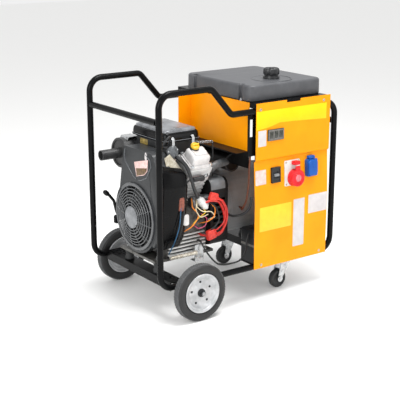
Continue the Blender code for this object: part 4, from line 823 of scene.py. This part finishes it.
bulge_edge = bent([(-0.040, 0.250), (-0.040, 0.634), (-0.108, 0.634), (-0.176, 0.588), (-0.186, 0.520),
                   (-0.174, 0.400), (-0.158, 0.300), (-0.125, 0.250)],
                  [0.01, 0.02, 0.03, 0.028, 0.05, 0.06, 0.05, 0.03], 7, closed=True)
swell = [(0.013, 0.004)] + [(0.014 + 0.004 * t, 0.004 * (1 - t)) for t in (0.5, 1.0)] + [(0.112, 0.0)]
swell += [(0.112 + 0.028 * np.sin(a), 0.034 * (1 - np.cos(a))) for a in np.linspace(0.25, np.pi / 2, 7)]
bulge = slab(bulge_edge, swell, (FRONT_X, 0, 0), Y, Z, X)
lean = np.clip((bulge[..., 0] - FRONT_X - 0.062) / 0.078, 0, 1)
upper = np.clip((bulge[..., 2] - 0.50) / 0.11, 0, 1)
bulge[..., 2] -= 0.036 * lean * upper
gloss_black = finish("gloss black moulded shroud", ("#040405", "#0a0a0b"), 0.24, 1.6, 0.05, patch=60.0,
                     sheen=0.14)
hood = sew("cowl_bulge", [(bulge, "capped")], gloss_black, "frame", sharp=50)
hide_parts("cylinder_shroud")
emboss = finish("worn edge of the cowl", ("#55585b", "#6a6d70"), 0.34, 1.4, 0.04, metallic=0.3, patch=20.0)
for name, line in (("cowl_frame_near", [(-0.080, 0.640), (-0.112, 0.622), (-0.120, 0.600), (-0.086, 0.548),
                                        (-0.046, 0.530), (-0.026, 0.527)]),
                   ("cowl_frame_far", [(0.066, 0.640), (0.074, 0.615), (0.066, 0.585), (0.036, 0.560),
                                       (0.006, 0.535), (-0.010, 0.528)])):
    path = np.array([(FRONT_X - 0.0002, y, z) for y, z in line])
    path = bent(path, [0] + [0.012] * (len(line) - 2) + [0], 4)
    sew(name, [(round_bar(path, 0.0022, 8, reference=(1.0, 0.0, 0.0)), "capped")], emboss, "frame")
badge = slab([(0.002, 0.596), (-0.098, 0.622), (-0.092, 0.575), (-0.070, 0.556), (-0.014, 0.540)],
             [(0.0, 0.0), (0.0006, 0.0), (0.0008, 0.0003)], (FRONT_X - 0.0002, 0, 0), Y, Z, -X)
sew("cowl_label", [(badge, "capped")], label_rose, "frame")
foot_of_badge = slab([(-0.0125, 0.573), (-0.091, 0.588), (-0.0885, 0.575), (-0.069, 0.5585),
                      (-0.0165, 0.5430)], [(0.0009, 0.0), (0.0012, 0.0), (0.0014, 0.0003)],
                     (FRONT_X - 0.0002, 0, 0), Y, Z, -X)
label_bronze = finish("bronze printed label", ("#4a3322", "#7d6440"), 0.42, 0.9, 0.03, patch=9.0)
sew("cowl_label_foot", [(foot_of_badge, "capped")], label_bronze, "frame")
oval = turned([(0.0001, 0.0), (1.0, 0.0), (1.0, 0.0008), (0.9, 0.0014),
               (0.0001, 0.0014)] * np.array([0.011, 1]), (FRONT_X - 0.0002, 0, 0), -X, 32)
oval = oval * [1, 0.7, 1.5] + [0, -0.083, 0.632]
sew("cowl_badge", [(oval, "open")], label_white, "frame")

# ---- cylinders and valve covers -------------------------------------------------------------------
# Two finned barrels in a V. Each valve cover is a stepped die casting with a flange, four bolts and a
# raised deck, and the near one carries the yellow oil filler cap.

V_ANGLE = np.radians(31)
pale_cover = finish("pale silver valve cover", ("#c9c6c5", "#e0dedd"), 0.36, 1.6, 0.06, metallic=0.2,
                    patch=30.0)
oil_yellow = finish("yellow moulded filler cap", ("#d9a81a", "#ecc02c"), 0.42, 1.0, 0.04, patch=12.0)


def bank(side):
    """A cylinder's own axes: away from the crank along the bore, and across it towards the set's middle."""
    along = np.array([0.0, side * np.sin(V_ANGLE), np.cos(V_ANGLE)])
    across = np.array([0.0, -side * np.cos(V_ANGLE), np.sin(V_ANGLE)])
    return along, across


crank = np.array([0.0, 0.0, CRANK_Z])
for tag, side in (("near", -1), ("far", 1)):
    along, across = bank(side)
    low, high = extent("valve_cover_" + tag)
    seat = rectangle((low[0] - 0.002, -0.047), (high[0] + 0.002, 0.047), 0.010)
    hood = rectangle((low[0] + 0.006, -0.037), (high[0] - 0.006, 0.037), 0.012)
    deck = rectangle((low[0] + 0.018, -0.022), (high[0] - 0.018, 0.022), 0.008)
    shoulder = [(0.2990 + 0.014 * np.sin(a), 0.0015 + 0.014 * (1 - np.cos(a)))
                for a in np.linspace(0, np.pi / 2, 6)]
    skins = [(slab(outline, levels, crank, X, across, along), "capped") for outline, levels in (
        (seat, soft_levels(0.2628, 0.2690, 0.0012, 2)),
        (seat, [(0.2690, 0.003), (0.2745, 0.0045), (0.2755, 0.006)]),
        (hood, [(0.2745, 0.0), (0.2990, 0.0015)] + shoulder),
        (deck, [(0.310, 0.0), (0.3165, 0.0008), (0.3180, 0.0025)]))]
    cover = sew("valve_hood_" + tag, skins, pale_cover, "frame", sharp=30)
    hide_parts("valve_cover_" + tag)
    for k, (dx, v) in enumerate(((low[0] + 0.006, -0.041), (high[0] - 0.006, -0.041),
                                 (low[0] + 0.006, 0.041), (high[0] - 0.006, 0.041))):
        bolt(f"hood_bolt_{tag}_{k}", crank + dx * X + v * across + 0.2755 * along, along, 0.0042, 0.006,
             "frame")

along, across = bank(-1)
spot = crank - 0.205 * X + 0.020 * across + 0.3135 * along
base = [(0.0001, 0.0), (0.0190, 0.0), (0.0190, 0.006), (0.0172, 0.008), (0.0001, 0.008)]
sew("oil_filler_neck", [(turned(base, spot, along, 32), "open")], case_black, "frame")
crown = turned([(0.0001, 0.008), (0.0165, 0.008), (0.0175, 0.010), (0.0175, 0.016), (0.0160, 0.019),
                (0.0120, 0.020), (0.0110, 0.0185), (0.0001, 0.0185)], spot, along, 48)
wing = slab(rectangle((-0.0150, -0.0035), (0.0150, 0.0035), 0.0025, 3),
            soft_levels(0.0180, 0.0260, 0.0015, 2), spot, X, across, along)
sew("oil_filler_cap", [(crown, "open"), (wing, "capped")], oil_yellow, "frame")

boot_at = np.array([-0.232, -0.176, 0.536])
boot = turned([(0.0001, 0.0), (0.0085, 0.0), (0.0100, 0.003), (0.0105, 0.012), (0.0095, 0.030),
               (0.0115, 0.034), (0.0118, 0.045), (0.0100, 0.050), (0.0001, 0.050)], boot_at, X, 24)
sew("plug_boot", [(boot, "open")], tyre_rubber, "frame")
plug_ring = turned([(0.0060, 0.0), (0.0115, 0.0), (0.0120, 0.002), (0.0105, 0.004), (0.0080, 0.004),
                    (0.0060, 0.001)], crank - 0.160 * X + 0.225 * along - 0.0500 * across, -across, 32)
sew("head_port_ring", [(plug_ring, "ring")], plated, "frame")

# ---- air cleaner ----------------------------------------------------------------------------------
# The cover is a black moulding with a raised plate let into its top, coloured silver as a painted reflection
# of the glossy dark lid, a bright bead of that silver round its rim, and two sprung clips on the near side.

cleaner_low, cleaner_high = extent("air_cleaner_cover")
# Painted reflection: this silver stands in for the light that the dark glossy lid reflects; the rim's bead
# shares it.
silver_and_lid_reflection = finish("silver lid plate painted as reflection", ("#66686b", "#94969a"), 0.30, 0.8, 0.03, metallic=0.35,
                    patch=75.0)
top_edge = rectangle(cleaner_low[:2], cleaner_high[:2], 0.022, 8)
body_z = (cleaner_low[2], cleaner_high[2])
wall = [(body_z[0], 0.004), (body_z[0] + 0.001, 0.001), (body_z[0] + 0.006, 0.0), (body_z[0] + 0.008, 0.0),
        (body_z[0] + 0.009, 0.0035), (body_z[0] + 0.016, 0.0030), (body_z[0] + 0.022, 0.0040)]
wall += [(body_z[1] - 0.014 + 0.012 * np.sin(a), 0.0050 + 0.012 * (1 - np.cos(a)))
         for a in np.linspace(0, np.pi / 2, 6)]
cover = sew("cleaner_moulding", [(slab(top_edge, wall, (0, 0, 0), X, Y, Z), "capped")], shroud_black,
            "cleaner_cover")
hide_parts("air_cleaner_cover")
inset = rectangle(cleaner_low[:2] + 0.012, cleaner_high[:2] - 0.012, 0.018, 8)
plate_top = [(body_z[1] - 0.004, 0.0), (body_z[1] + 0.0020, 0.0004), (body_z[1] + 0.0050, 0.0022),
             (body_z[1] + 0.0068, 0.0060), (body_z[1] + 0.0072, 0.0095), (body_z[1] + 0.0086, 0.0110),
             (body_z[1] + 0.0094, 0.0135), (body_z[1] + 0.0098, 0.0165)]
# The lid plate's silver is a painted reflection on the dark lid.
sew("cleaner_lid_painted_reflection", [(slab(inset, plate_top, (0, 0, 0), X, Y, Z), "capped")], silver_and_lid_reflection,
    "cleaner_cover")
grown = slab(top_edge, [(0.0, -0.0004)], (0, 0, body_z[0] + 0.0070), X, Y, Z)[0]
sew("cleaner_bead", [(round_bar(grown, 0.0012, 8, closed=True, reference=(0, 0, 1)), "ring")], silver_and_lid_reflection,
    "cleaner_cover")
for k, x in enumerate((-0.275, -0.180)):
    strap = bent([(x, cleaner_low[1] - 0.0012, body_z[0] - 0.030),
                  (x, cleaner_low[1] - 0.0040, body_z[0] - 0.020),
                  (x, cleaner_low[1] - 0.0040, body_z[0] + 0.012),
                  (x, cleaner_low[1] + 0.004, body_z[0] + 0.0205)], [0, 0.006, 0.006, 0], 5)
    ahead = np.gradient(strap, axis=0)
    ahead /= np.linalg.norm(ahead, axis=1, keepdims=True)
    thick = np.cross(ahead, X)
    band = np.stack([strap - 0.006 * X - 0.0006 * thick, strap + 0.006 * X - 0.0006 * thick,
                     strap + 0.006 * X + 0.0006 * thick, strap - 0.006 * X + 0.0006 * thick], axis=1)
    sew(f"cleaner_clip_{k}", [(band, "capped")], plated, "cleaner_cover")
badge = slab(rectangle((0.026, 0.648), (0.080, 0.670), 0.002, 3),
             [(0.0, 0.0), (0.0005, 0.0), (0.0007, 0.0003)], (extent("air_cleaner_base")[0][0], 0, 0), Y, Z,
             -X)
label_brass = finish("dull brass label", ("#6b5a2c", "#b59d55"), 0.4, 1.0, 0.03, patch=9.0)
sew("cleaner_label", [(badge, "capped")], label_brass, "frame")

# ---- fuel pump, hoses and ignition leads ----------------------------------------------------------
# A round pulse pump hangs beside the air cleaner, fed by a looped rubber hose. A thick black hose runs
# down past the valve cover, and thin PVC leads in several colours gather round the starter.

pump_grey = finish("grey die cast pump", ("#4c4f52", "#6d7073"), 0.42, 1.2, 0.08, metallic=0.3, patch=12.0)
hose_rubber = finish("black fuel hose rubber", ("#1a1b1c", "#2b2c2e"), 0.50, 1.0, 0.06, patch=18.0)
pump_profile = [(0.0001, -0.014), (0.018, -0.014), (0.020, -0.010), (0.020, -0.002), (0.025, -0.001),
                (0.026, 0.002), (0.025, 0.005), (0.020, 0.006), (0.018, 0.011), (0.012, 0.013),
                (0.011, 0.0115), (0.0001, 0.0115)]
pump_at = np.array([-0.2997, -0.132, 0.6477])
sew("fuel_pump", [(turned(pump_profile, pump_at, -Y, 48), "open")], pump_grey, "frame")
for k in range(5):
    angle = 2 * np.pi * k / 5 + 0.4
    bolt(f"pump_bolt_{k}", pump_at + 0.0215 * np.array([np.cos(angle), 0, np.sin(angle)]) - 0.005 * Y, -Y,
         0.0022, 0.003, "frame")
arm = slab(rectangle((-0.318, 0.632), (-0.282, 0.664), 0.006, 3), soft_levels(0.0, 0.045, 0.0015, 2),
           (0, -0.076, 0), X, Z, -Y)
sew("pump_bracket", [(arm, "capped")], mount_rubber, "frame")
lever_plate = slab([(-0.350, 0.632), (-0.326, 0.646), (-0.262, 0.572), (-0.266, 0.552), (-0.341, 0.596)],
                   soft_levels(0, 0.002, 0.0006, 2), (0, -0.150, 0), X, Z, -Y)
passivated = finish("passivated steel bracket", ("#a89f88", "#cfcabc"), 0.34, 0.9, 0.04, metallic=0.6,
                    patch=10.0)
sew("throttle_plate", [(lever_plate, "capped")], passivated, "frame")


def lead(name, knots, radius, material, slot, sides=10):
    """A short hose or wire fixed at both ends, carried along a smooth path through its knots."""
    route = smooth(knots, 5)
    piece = sew(name, [(flex(route, radius, sides), "capped")], material, "frame")
    return piece


lead("pump_hose", [(-0.3105, -0.078, 0.655), (-0.326, -0.100, 0.662), (-0.342, -0.128, 0.676),
                   (-0.340, -0.146, 0.700), (-0.322, -0.146, 0.712), (-0.305, -0.128, 0.700),
                   (-0.300, -0.107, 0.668)], 0.0042, hose_rubber, "cable_black")
lead("breather_hose", [(-0.290, -0.100, 0.632), (-0.281, -0.150, 0.622), (-0.264, -0.168, 0.600),
                       (-0.252, -0.176, 0.570), (-0.243, -0.182, 0.535), (-0.230, -0.180, 0.500),
                       (-0.212, -0.172, 0.470), (-0.198, -0.165, 0.452)], 0.0072, hose_rubber,
     "cable_black", 14)
lead("plug_lead", [(-0.230, -0.176, 0.536), (-0.244, -0.180, 0.540), (-0.262, -0.178, 0.530),
                   (-0.276, -0.176, 0.500), (-0.284, -0.172, 0.470)], 0.0036, hose_rubber, "cable_black")
wire_orange = finish("orange PVC wire", ("#d8741a", "#ee9030"), 0.4, 0.8, 0.02, patch=12.0)
wire_yellow = finish("yellow PVC wire", ("#d9b21c", "#efc838"), 0.4, 0.8, 0.02, patch=12.0)
wire_cream = finish("cream PVC wire", ("#d8c9a4", "#eee2c4"), 0.4, 0.8, 0.02, patch=12.0)
wire_teal = finish("blue PVC wire", ("#123e5c", "#1c5a80"), 0.4, 0.8, 0.02, patch=12.0)
wire_pink = finish("violet PVC wire", ("#a83a5c", "#c65078"), 0.4, 0.8, 0.02, patch=12.0)
lead("wire_orange", [(-0.222, -0.150, 0.452), (-0.228, -0.166, 0.420), (-0.204, -0.172, 0.384),
                     (-0.231, -0.170, 0.346), (-0.256, -0.158, 0.328), (-0.258, -0.140, 0.318)], 0.0024,
     wire_orange, "cable_red", 8)
lead("wire_yellow", [(-0.178, -0.160, 0.414), (-0.168, -0.170, 0.391), (-0.206, -0.172, 0.372),
                     (-0.226, -0.168, 0.352), (-0.224, -0.145, 0.330)], 0.0022, wire_yellow, "cable_red", 8)
lead("wire_cream", [(-0.196, -0.158, 0.444), (-0.214, -0.170, 0.408), (-0.196, -0.176, 0.378),
                    (-0.160, -0.174, 0.382), (-0.150, -0.152, 0.372)], 0.0020, wire_cream, "cable_red", 8)
lead("wire_violet", [(-0.222, -0.150, 0.346), (-0.200, -0.168, 0.330), (-0.170, -0.170, 0.336),
                     (-0.160, -0.168, 0.362), (-0.176, -0.150, 0.384)], 0.0020, wire_pink, "cable_red", 8)
lead("wire_blue", [(-0.284, -0.172, 0.470), (-0.296, -0.182, 0.420), (-0.304, -0.184, 0.360),
                   (-0.322, -0.178, 0.300), (-0.328, -0.160, 0.262), (-0.322, -0.136, 0.236)], 0.0022,
     wire_teal, "cable_black", 8)
lead("wire_black", [(-0.272, -0.170, 0.476), (-0.280, -0.182, 0.420), (-0.290, -0.184, 0.360),
                    (-0.300, -0.176, 0.310), (-0.306, -0.160, 0.280)], 0.0026, hose_rubber, "cable_black",
     8)
COILS = 9
turn = np.linspace(0, 2 * np.pi * COILS, COILS * 12)
run = np.linspace(0, 1, len(turn))
coil_path = np.stack([-0.160 + 0.075 * run, -0.106 + 0.0048 * np.cos(turn),
                      0.664 - 0.006 * run + 0.0048 * np.sin(turn)], 1)
anchor = bent([(-0.082, -0.102, 0.512), (-0.082, -0.102, 0.656), (-0.092, -0.102, 0.660)], [0, 0.008, 0], 5)
hook = bent([(-0.178, -0.076, 0.668), (-0.168, -0.098, 0.668), (-0.156, -0.104, 0.667)], [0, 0.010, 0], 5)
sew("throttle_spring", [(round_bar(coil_path, 0.0011, 6), "capped"), (round_bar(hook, 0.0015, 8), "capped")],
    plated, "frame")
sew("spring_anchor", [(round_bar(anchor, 0.0030, 12), "capped")], mount_rubber, "frame")

lead("wire_loom", [(-0.150, -0.158, 0.440), (-0.124, -0.184, 0.405), (-0.116, -0.190, 0.352),
                   (-0.148, -0.176, 0.312), (-0.166, -0.142, 0.298)], 0.0030, hose_rubber, "cable_black", 8)
lead("wire_amber", [(-0.140, -0.158, 0.430), (-0.128, -0.180, 0.402), (-0.138, -0.186, 0.372),
                    (-0.165, -0.180, 0.355), (-0.182, -0.142, 0.340)], 0.0022, wire_orange, "cable_red", 8)
lead("wire_ivory", [(-0.205, -0.158, 0.446), (-0.216, -0.178, 0.424), (-0.190, -0.186, 0.402),
                    (-0.150, -0.184, 0.394), (-0.128, -0.178, 0.368), (-0.136, -0.144, 0.350)], 0.0020,
     wire_cream, "cable_red", 8)
lead("red_branch", [(-0.150, -0.180, 0.452), (-0.112, -0.200, 0.436), (-0.094, -0.204, 0.398),
                    (-0.098, -0.202, 0.350), (-0.124, -0.196, 0.322), (-0.142, -0.176, 0.306)], 0.0026,
     cable_red, "cable_red", 8)
coil_brown = finish("brown varnished ignition coil", ("#6e3322", "#9b5540"), 0.34, 0.9, 0.04, patch=10.0)
pack = slab(rectangle((-0.302, 0.418), (-0.276, 0.476), 0.008, 5), soft_levels(0.0, 0.016, 0.005, 4),
            (0, -0.166, 0), X, Z, -Y)
sew("ignition_coil", [(pack, "capped")], coil_brown, "frame")
regulator = slab(rectangle((-0.274, 0.352), (-0.248, 0.398), 0.008, 5), soft_levels(0.0, 0.014, 0.005, 4),
                 (0, -0.160, 0), X, Z, -Y)
sew("condenser", [(regulator, "capped")], pale_cover, "frame")

solenoid_axis = np.array([0.038, 0.0, -0.046])
solenoid = turned([(0.0001, 0.0), (0.009, 0.0), (0.0105, 0.004), (0.0105, 0.010), (0.0155, 0.012),
                   (0.0160, 0.016), (0.0160, 0.050), (0.0150, 0.053), (0.0080, 0.055), (0.0080, 0.062),
                   (0.0001, 0.062)], (-0.203, -0.172, 0.456), solenoid_axis, 32)
sew("starter_solenoid", [(solenoid, "open")], cover_paint, "frame")
boot_red = finish("red PVC terminal boot", ("#c0281e", "#dc3c2e"), 0.42, 0.9, 0.04, patch=10.0)
for name, at, turn, size in (("boot_upper", (-0.136, -0.182, 0.452), -18, (0.022, 0.017)),
                             ("boot_lower", (-0.142, -0.176, 0.296), 12, (0.025, 0.020))):
    lean = np.radians(turn)
    side_way = np.array([np.cos(lean), 0, np.sin(lean)])
    up_way = np.array([-np.sin(lean), 0, np.cos(lean)])
    shape = bent([(-size[0], -size[1]), (size[0] * 0.6, -size[1]), (size[0], -size[1] * 0.2),
                  (size[0] * 0.7, size[1]), (-size[0] * 0.8, size[1])], [0.007, 0.006, 0.005, 0.007, 0.006],
                 4, closed=True)
    sew(name, [(slab(shape, soft_levels(-0.012, 0.010, 0.006, 4), at, side_way, up_way, -Y), "capped")],
        boot_red, "frame")
lead("red_jumper", [(-0.122, -0.190, 0.448), (-0.100, -0.196, 0.430), (-0.080, -0.196, 0.390),
                    (-0.084, -0.196, 0.340), (-0.104, -0.192, 0.306), (-0.126, -0.186, 0.296)], 0.0042,
     cable_red, "cable_red")

# ---- crankcase's lower side -----------------------------------------------------------------------
# The sump's near wall has cooling ribs, an oil drain tube with a plug on its end, and a small folded
# bracket. Bolts hold the foot to the rubber mounts.

ribs = []
for k in range(6):
    z = 0.222 + 0.0145 * k
    ribs.append((slab(rectangle((-0.3180, z), (-0.140, z + 0.0065), 0.002, 3),
                      soft_levels(0.0, 0.010 + 0.0015 * (5 - k), 0.0022, 2), (0, -ENGINE_Y + 0.001, 0), X,
                      Z, -Y), "capped"))
sew("sump_ribs", ribs, cover_paint, "frame", sharp=30)
drain = turned([(0.0001, -0.008), (0.0065, -0.008), (0.0065, 0.0), (0.0075, 0.001), (0.0075, 0.105),
                (0.0085, 0.106), (0.0085, 0.118), (0.0001, 0.118)], (-0.322, -0.158, 0.226), X, 20)
plated_cream = finish("cream plated drain tube", ("#b3ab9a", "#ddd8cc"), 0.28, 0.9, 0.03, metallic=0.6,
                      patch=12.0)
sew("drain_tube", [(drain, "open")], plated_cream, "frame")
corner = slab(rectangle((-0.208, 0.186), (-0.165, 0.256), 0.003, 3), soft_levels(0.0, 0.003, 0.001, 2),
              (0, -0.150, 0), X, Z, -Y)
shelf = slab(rectangle((-0.208, -0.152), (-0.165, -0.120), 0.002, 3), soft_levels(0.0, 0.003, 0.001, 2),
             (0, 0, 0.186), X, Y, Z)
sew("sump_bracket", [(corner, "capped"), (shelf, "capped")], zinc_plate, "frame")
for k, (x, y) in enumerate(((-0.355, -0.105), (-0.355, 0.105))):
    bolt(f"foot_bolt_{k}", (x, y, 0.2155), Z, 0.006, 0.009, "frame")

# ---- adapter, heat shield and alternator trim -----------------------------------------------------
# A grey pressed hood covers the adapter's top, a black sheet shields the tank from the muffler, and the
# alternator's shell has two rolled beads and a row of bolts round its end cover.

hood_grey = finish("grey enamelled hood", ("#5f6163", "#747678"), 0.36, 1.8, 0.06, patch=30.0)
adapter_low, adapter_high = extent("adapter")
half = adapter_high[1]
arch = bent([(-half - 0.002, adapter_high[2] - 0.040), (-half - 0.002, adapter_high[2] + 0.003),
             (half + 0.002, adapter_high[2] + 0.003), (half + 0.002, adapter_high[2] - 0.040),
             (half - 0.001, adapter_high[2] - 0.040), (half - 0.001, adapter_high[2] + 0.0005),
             (-half + 0.001, adapter_high[2] + 0.0005), (-half + 0.001, adapter_high[2] - 0.040)],
            [0, 0.030, 0.030, 0, 0, 0.028, 0.028, 0], 7, closed=True)
hood = slab(arch, [(0.0, 0.0006), (0.001, 0.0), (0.070, 0.0), (0.071, 0.0006)],
            (adapter_low[0] + 0.002, 0, 0), Y, Z, X)
sew("adapter_hood", [(hood, "capped")], hood_grey, "frame")
plate_low = extent("end_plate")[0]
shield = slab([(plate_low[1] + 0.002, 0.556), (0.166, 0.556), (0.166, plate_low[2] + 0.004),
               (plate_low[1] + 0.002, plate_low[2] + 0.004)], soft_levels(0.0, 0.0012, 0.0003, 1),
              (0.0030, 0, 0), Y, Z, X)
gutter = slab([(-0.058, plate_low[2] - 0.0016), (0.0040, plate_low[2] - 0.0016),
               (0.0040, plate_low[2] - 0.0004), (-0.058, plate_low[2] - 0.0004)],
              soft_levels(-0.166, plate_low[1] * -1 - 0.004, 0.0003, 1), (0, 0, 0), X, Z, -Y)
sew("heat_shield", [(shield, "capped"), (gutter, "capped")], exhaust_black, "frame")
stator_low, stator_high = extent("alternator_stator")
mid = (0.0, 0.0, CRANK_Z)
trims = []
for x in (stator_low[0] + 0.010, stator_high[0] - 0.012):
    hoop = np.array([(STATOR_R - 0.0005, x - 0.005), (STATOR_R + 0.0012, x - 0.003), (STATOR_R + 0.0018, x),
                     (STATOR_R + 0.0012, x + 0.003), (STATOR_R - 0.0005, x + 0.005)])
    trims.append((turned(hoop, mid, X, 96), "ring"))
sew("shell_beads", trims, shell_paint, "frame")
cover_high = extent("alternator_end_cover")[1]
COVER_BOLTS, BOLT_CIRCLE_R, COVER_RIBS = 8, 0.1152, 20
for k in range(COVER_BOLTS):
    angle = 2 * np.pi * (k + 0.5) / COVER_BOLTS
    bolt(f"cover_bolt_{k}", (cover_high[0] + 0.0001, BOLT_CIRCLE_R * np.cos(angle),
                             CRANK_Z + BOLT_CIRCLE_R * np.sin(angle)), X, 0.005, 0.007, "frame")

# ---- battery's cover ------------------------------------------------------------------------------
# A drafted black cover snaps over the battery's posts, and the lead runs in at its near left corner. A
# grey band marks the lid's seam below it.

battery_low, battery_high = extent("battery")
cover_grid = slab(rectangle((0.0285, -0.2365), (0.1815, -0.1475), 0.008, 4),
                  [(-0.012, 0.0), (0.0, 0.0), (0.034, 0.002), (0.039, 0.004), (0.0415, 0.009)],
                  (0, 0, battery_high[2]), X, Y, Z)
sew("battery_cover", [(cover_grid, "capped")], case_black, "frame")
edge = slab(rectangle(battery_low[:2] - 0.0008, battery_high[:2] + 0.0008, 0.004, 3),
            soft_levels(0.0, 0.010, 0.001, 2), (0, 0, battery_high[2] - 0.030), X, Y, Z)
sew("battery_lid_band", [(edge, "capped")], bezel_grey, "frame")

# ---- governor lever, silencer bracket and alternator cable ---------------------------------------
# A black hand lever stands beside the fan housing, a folded zinc bracket holds the silencer's drum, and
# a rubber cable runs from the alternator's shell to the back of the panel.

grip_path = bent([(-0.372, 0.150, 0.318), (-0.384, 0.158, 0.360), (-0.392, 0.160, 0.400),
                  (-0.414, 0.160, 0.428), (-0.430, 0.160, 0.442)], [0, 0.03, 0.02, 0.02, 0], 5)
tube = round_bar(grip_path, 0.0062, 14)
knob = turned([(0.0001, -0.014), (0.0070, -0.013), (0.0100, -0.008), (0.0105, 0.0), (0.0095, 0.009),
               (0.0060, 0.013), (0.0001, 0.014)], (-0.428, 0.160, 0.440), np.array([-0.74, 0, 0.67]), 20)
stub = slab(rectangle((-0.392, 0.302), (-0.352, 0.338), 0.008, 4), soft_levels(0.0, 0.014, 0.003, 3),
            (0, 0.168, 0), X, Z, -Y)
sew("governor_lever", [(tube, "capped"), (knob, "open"), (stub, "capped")], shroud_black, "frame")
bracket = bent([(-0.030, -0.002), (-0.024, 0.010), (0.024, 0.010), (0.030, -0.002), (0.027, -0.002),
                (0.0225, 0.008), (-0.0225, 0.008), (-0.027, -0.002)],
               [0, 0.003, 0.003, 0, 0, 0.001, 0.001, 0], 3, closed=True)
fold = slab(bracket, soft_levels(-0.030, 0.030, 0.0008, 2), (-0.310, 0.160, 0.655), X, Z, -Y)
sew("silencer_bracket", [(fold, "capped")], plated, "frame")
lead("stator_cable", [(-0.036, -0.140, 0.358), (-0.034, -0.158, 0.352), (-0.026, -0.176, 0.352),
                      (-0.008, -0.204, 0.362), (0.004, -0.228, 0.386), (0.008, -0.240, 0.415),
                      (0.009, -0.242, 0.440)], 0.0050, hose_rubber, "cable_black")

# ---- far side of the engine and the alternator's end ---------------------------------------------
# The crankcase's far face carries a bolted cover with cast ribs and a spin on oil filter, and the
# alternator's end cover has a ring of cast cooling ribs. These faces follow common machines of the kind.

FAR_Y = extent("crankcase")[1, 1]
FILTER_AT, FILTER_SIDES = np.array([-0.226, 0.272]), 84
lid_edge = bent([(-0.302, 0.232), (-0.302, 0.392), (-0.262, 0.450), (-0.190, 0.450), (-0.150, 0.392),
                 (-0.150, 0.232)], [0.02, 0.03, 0.03, 0.03, 0.03, 0.02], 5, closed=True)
lid = slab(lid_edge, soft_levels(0.0, 0.007, 0.0025, 3), (0, FAR_Y - 0.001, 0), X, Z, Y)
ribs = []
for x in np.linspace(-0.280, -0.172, 5):
    ribs.append((slab(rectangle((x - 0.003, 0.316), (x + 0.003, 0.428), 0.002, 2),
                      soft_levels(0.0, 0.006, 0.002, 2), (0, FAR_Y + 0.005, 0), X, Z, Y), "capped"))
sew("side_cover", [(lid, "capped")] + ribs, cover_paint, "frame")
for k, (x, z) in enumerate(((-0.292, 0.242), (-0.292, 0.388), (-0.256, 0.441), (-0.196, 0.441),
                            (-0.160, 0.388), (-0.160, 0.242))):
    bolt(f"side_cover_bolt_{k}", (x, FAR_Y + 0.0061, z), Y, 0.0052, 0.006, "frame")
can = np.array([(0.0001, 0.0), (0.036, 0.0), (0.037, 0.003), (0.037, 0.006), (0.0355, 0.008),
                (0.0355, 0.052), (0.034, 0.060), (0.028, 0.066), (0.014, 0.068), (0.0001, 0.068)])
grip = turned(can, (FILTER_AT[0], FAR_Y + 0.004, FILTER_AT[1]), Y, FILTER_SIDES)
around = np.linspace(0, 2 * np.pi, FILTER_SIDES, endpoint=False)
flutes = 1 - 0.03 * (np.cos(14 * around) > 0)[None] * (can[:, 1] > 0.050)[:, None]
grip[..., ::2] = FILTER_AT + (grip[..., ::2] - FILTER_AT) * flutes[..., None]
sew("oil_filter", [(grip, "open")], case_black, "frame")

spokes = []
for k in range(COVER_RIBS):
    angle = 2 * np.pi * (k + 0.5) / COVER_RIBS
    out_way = np.array([0.0, np.cos(angle), np.sin(angle)])
    around_way = np.array([0.0, -np.sin(angle), np.cos(angle)])
    rib = slab(rectangle((0.058, -0.0028), (0.102, 0.0028), 0.0024, 3),
               soft_levels(-0.001, 0.0045, 0.0015, 2), (cover_high[0], 0, CRANK_Z), out_way, around_way, X)
    spokes.append((rib, "capped"))
sew("end_cover_ribs", spokes, shell_paint, "frame")

CASTER_AXLE = (0.200, 0.040)
for tag in ("near", "far"):
    fork_low, fork_high = extent("caster_fork_" + tag)
    for name, y, out_way in (("caster_bolt_", fork_low[1] - 0.0001, -Y),
                             ("caster_nut_", fork_high[1] + 0.0001, Y)):
        bolt(name + tag, (CASTER_AXLE[0], y, CASTER_AXLE[1]), out_way, 0.0075, 0.004, "caster_" + tag)

# ---- exhaust's short pipe ------------------------------------------------------------------------
# A stub of bare grey pipe with a welded collar runs from the near cylinder's port to the muffler, and
# rolled seams close the muffler's drum near both of its ends, a lighter grey than the black drum as a painted
# highlight.

pipe_grey = finish("scaled mild steel pipe", ("#4c4d4e", "#6c6d6e"), 0.48, 1.4, 0.08, metallic=0.35,
                   patch=16.0)
stub_path = bent([(-0.138, -0.128, 0.548), (-0.085, -0.128, 0.566), (-0.030, -0.110, 0.566),
                  (-0.006, -0.100, 0.560)], [0, 0.05, 0.03, 0], 6)
collar_way = np.array([0.93, 0.0, 0.36])
collar = turned([(0.0165, -0.004), (0.0205, -0.003), (0.0215, 0.0), (0.0205, 0.003), (0.0165, 0.004)],
                (-0.112, -0.128, 0.557), collar_way, 36)
sew("exhaust_stub", [(round_bar(stub_path, 0.0165, 28), "capped"), (collar, "ring")], pipe_grey, "frame")
# The seams' lighter grey is a painted highlight on the black drum.
seams = []
for y in (-0.117, 0.167):
    roll = np.array([(0.0335, y - 0.0035), (0.0375, y - 0.0030), (0.0384, y), (0.0375, y + 0.0030),
                     (0.0335, y + 0.0035)])
    seams.append((turned(roll, (0.005, 0.0, 0.560), Y, 48), "ring"))
sew("muffler_seams", seams, drum_grey_and_seam_highlight, "frame")
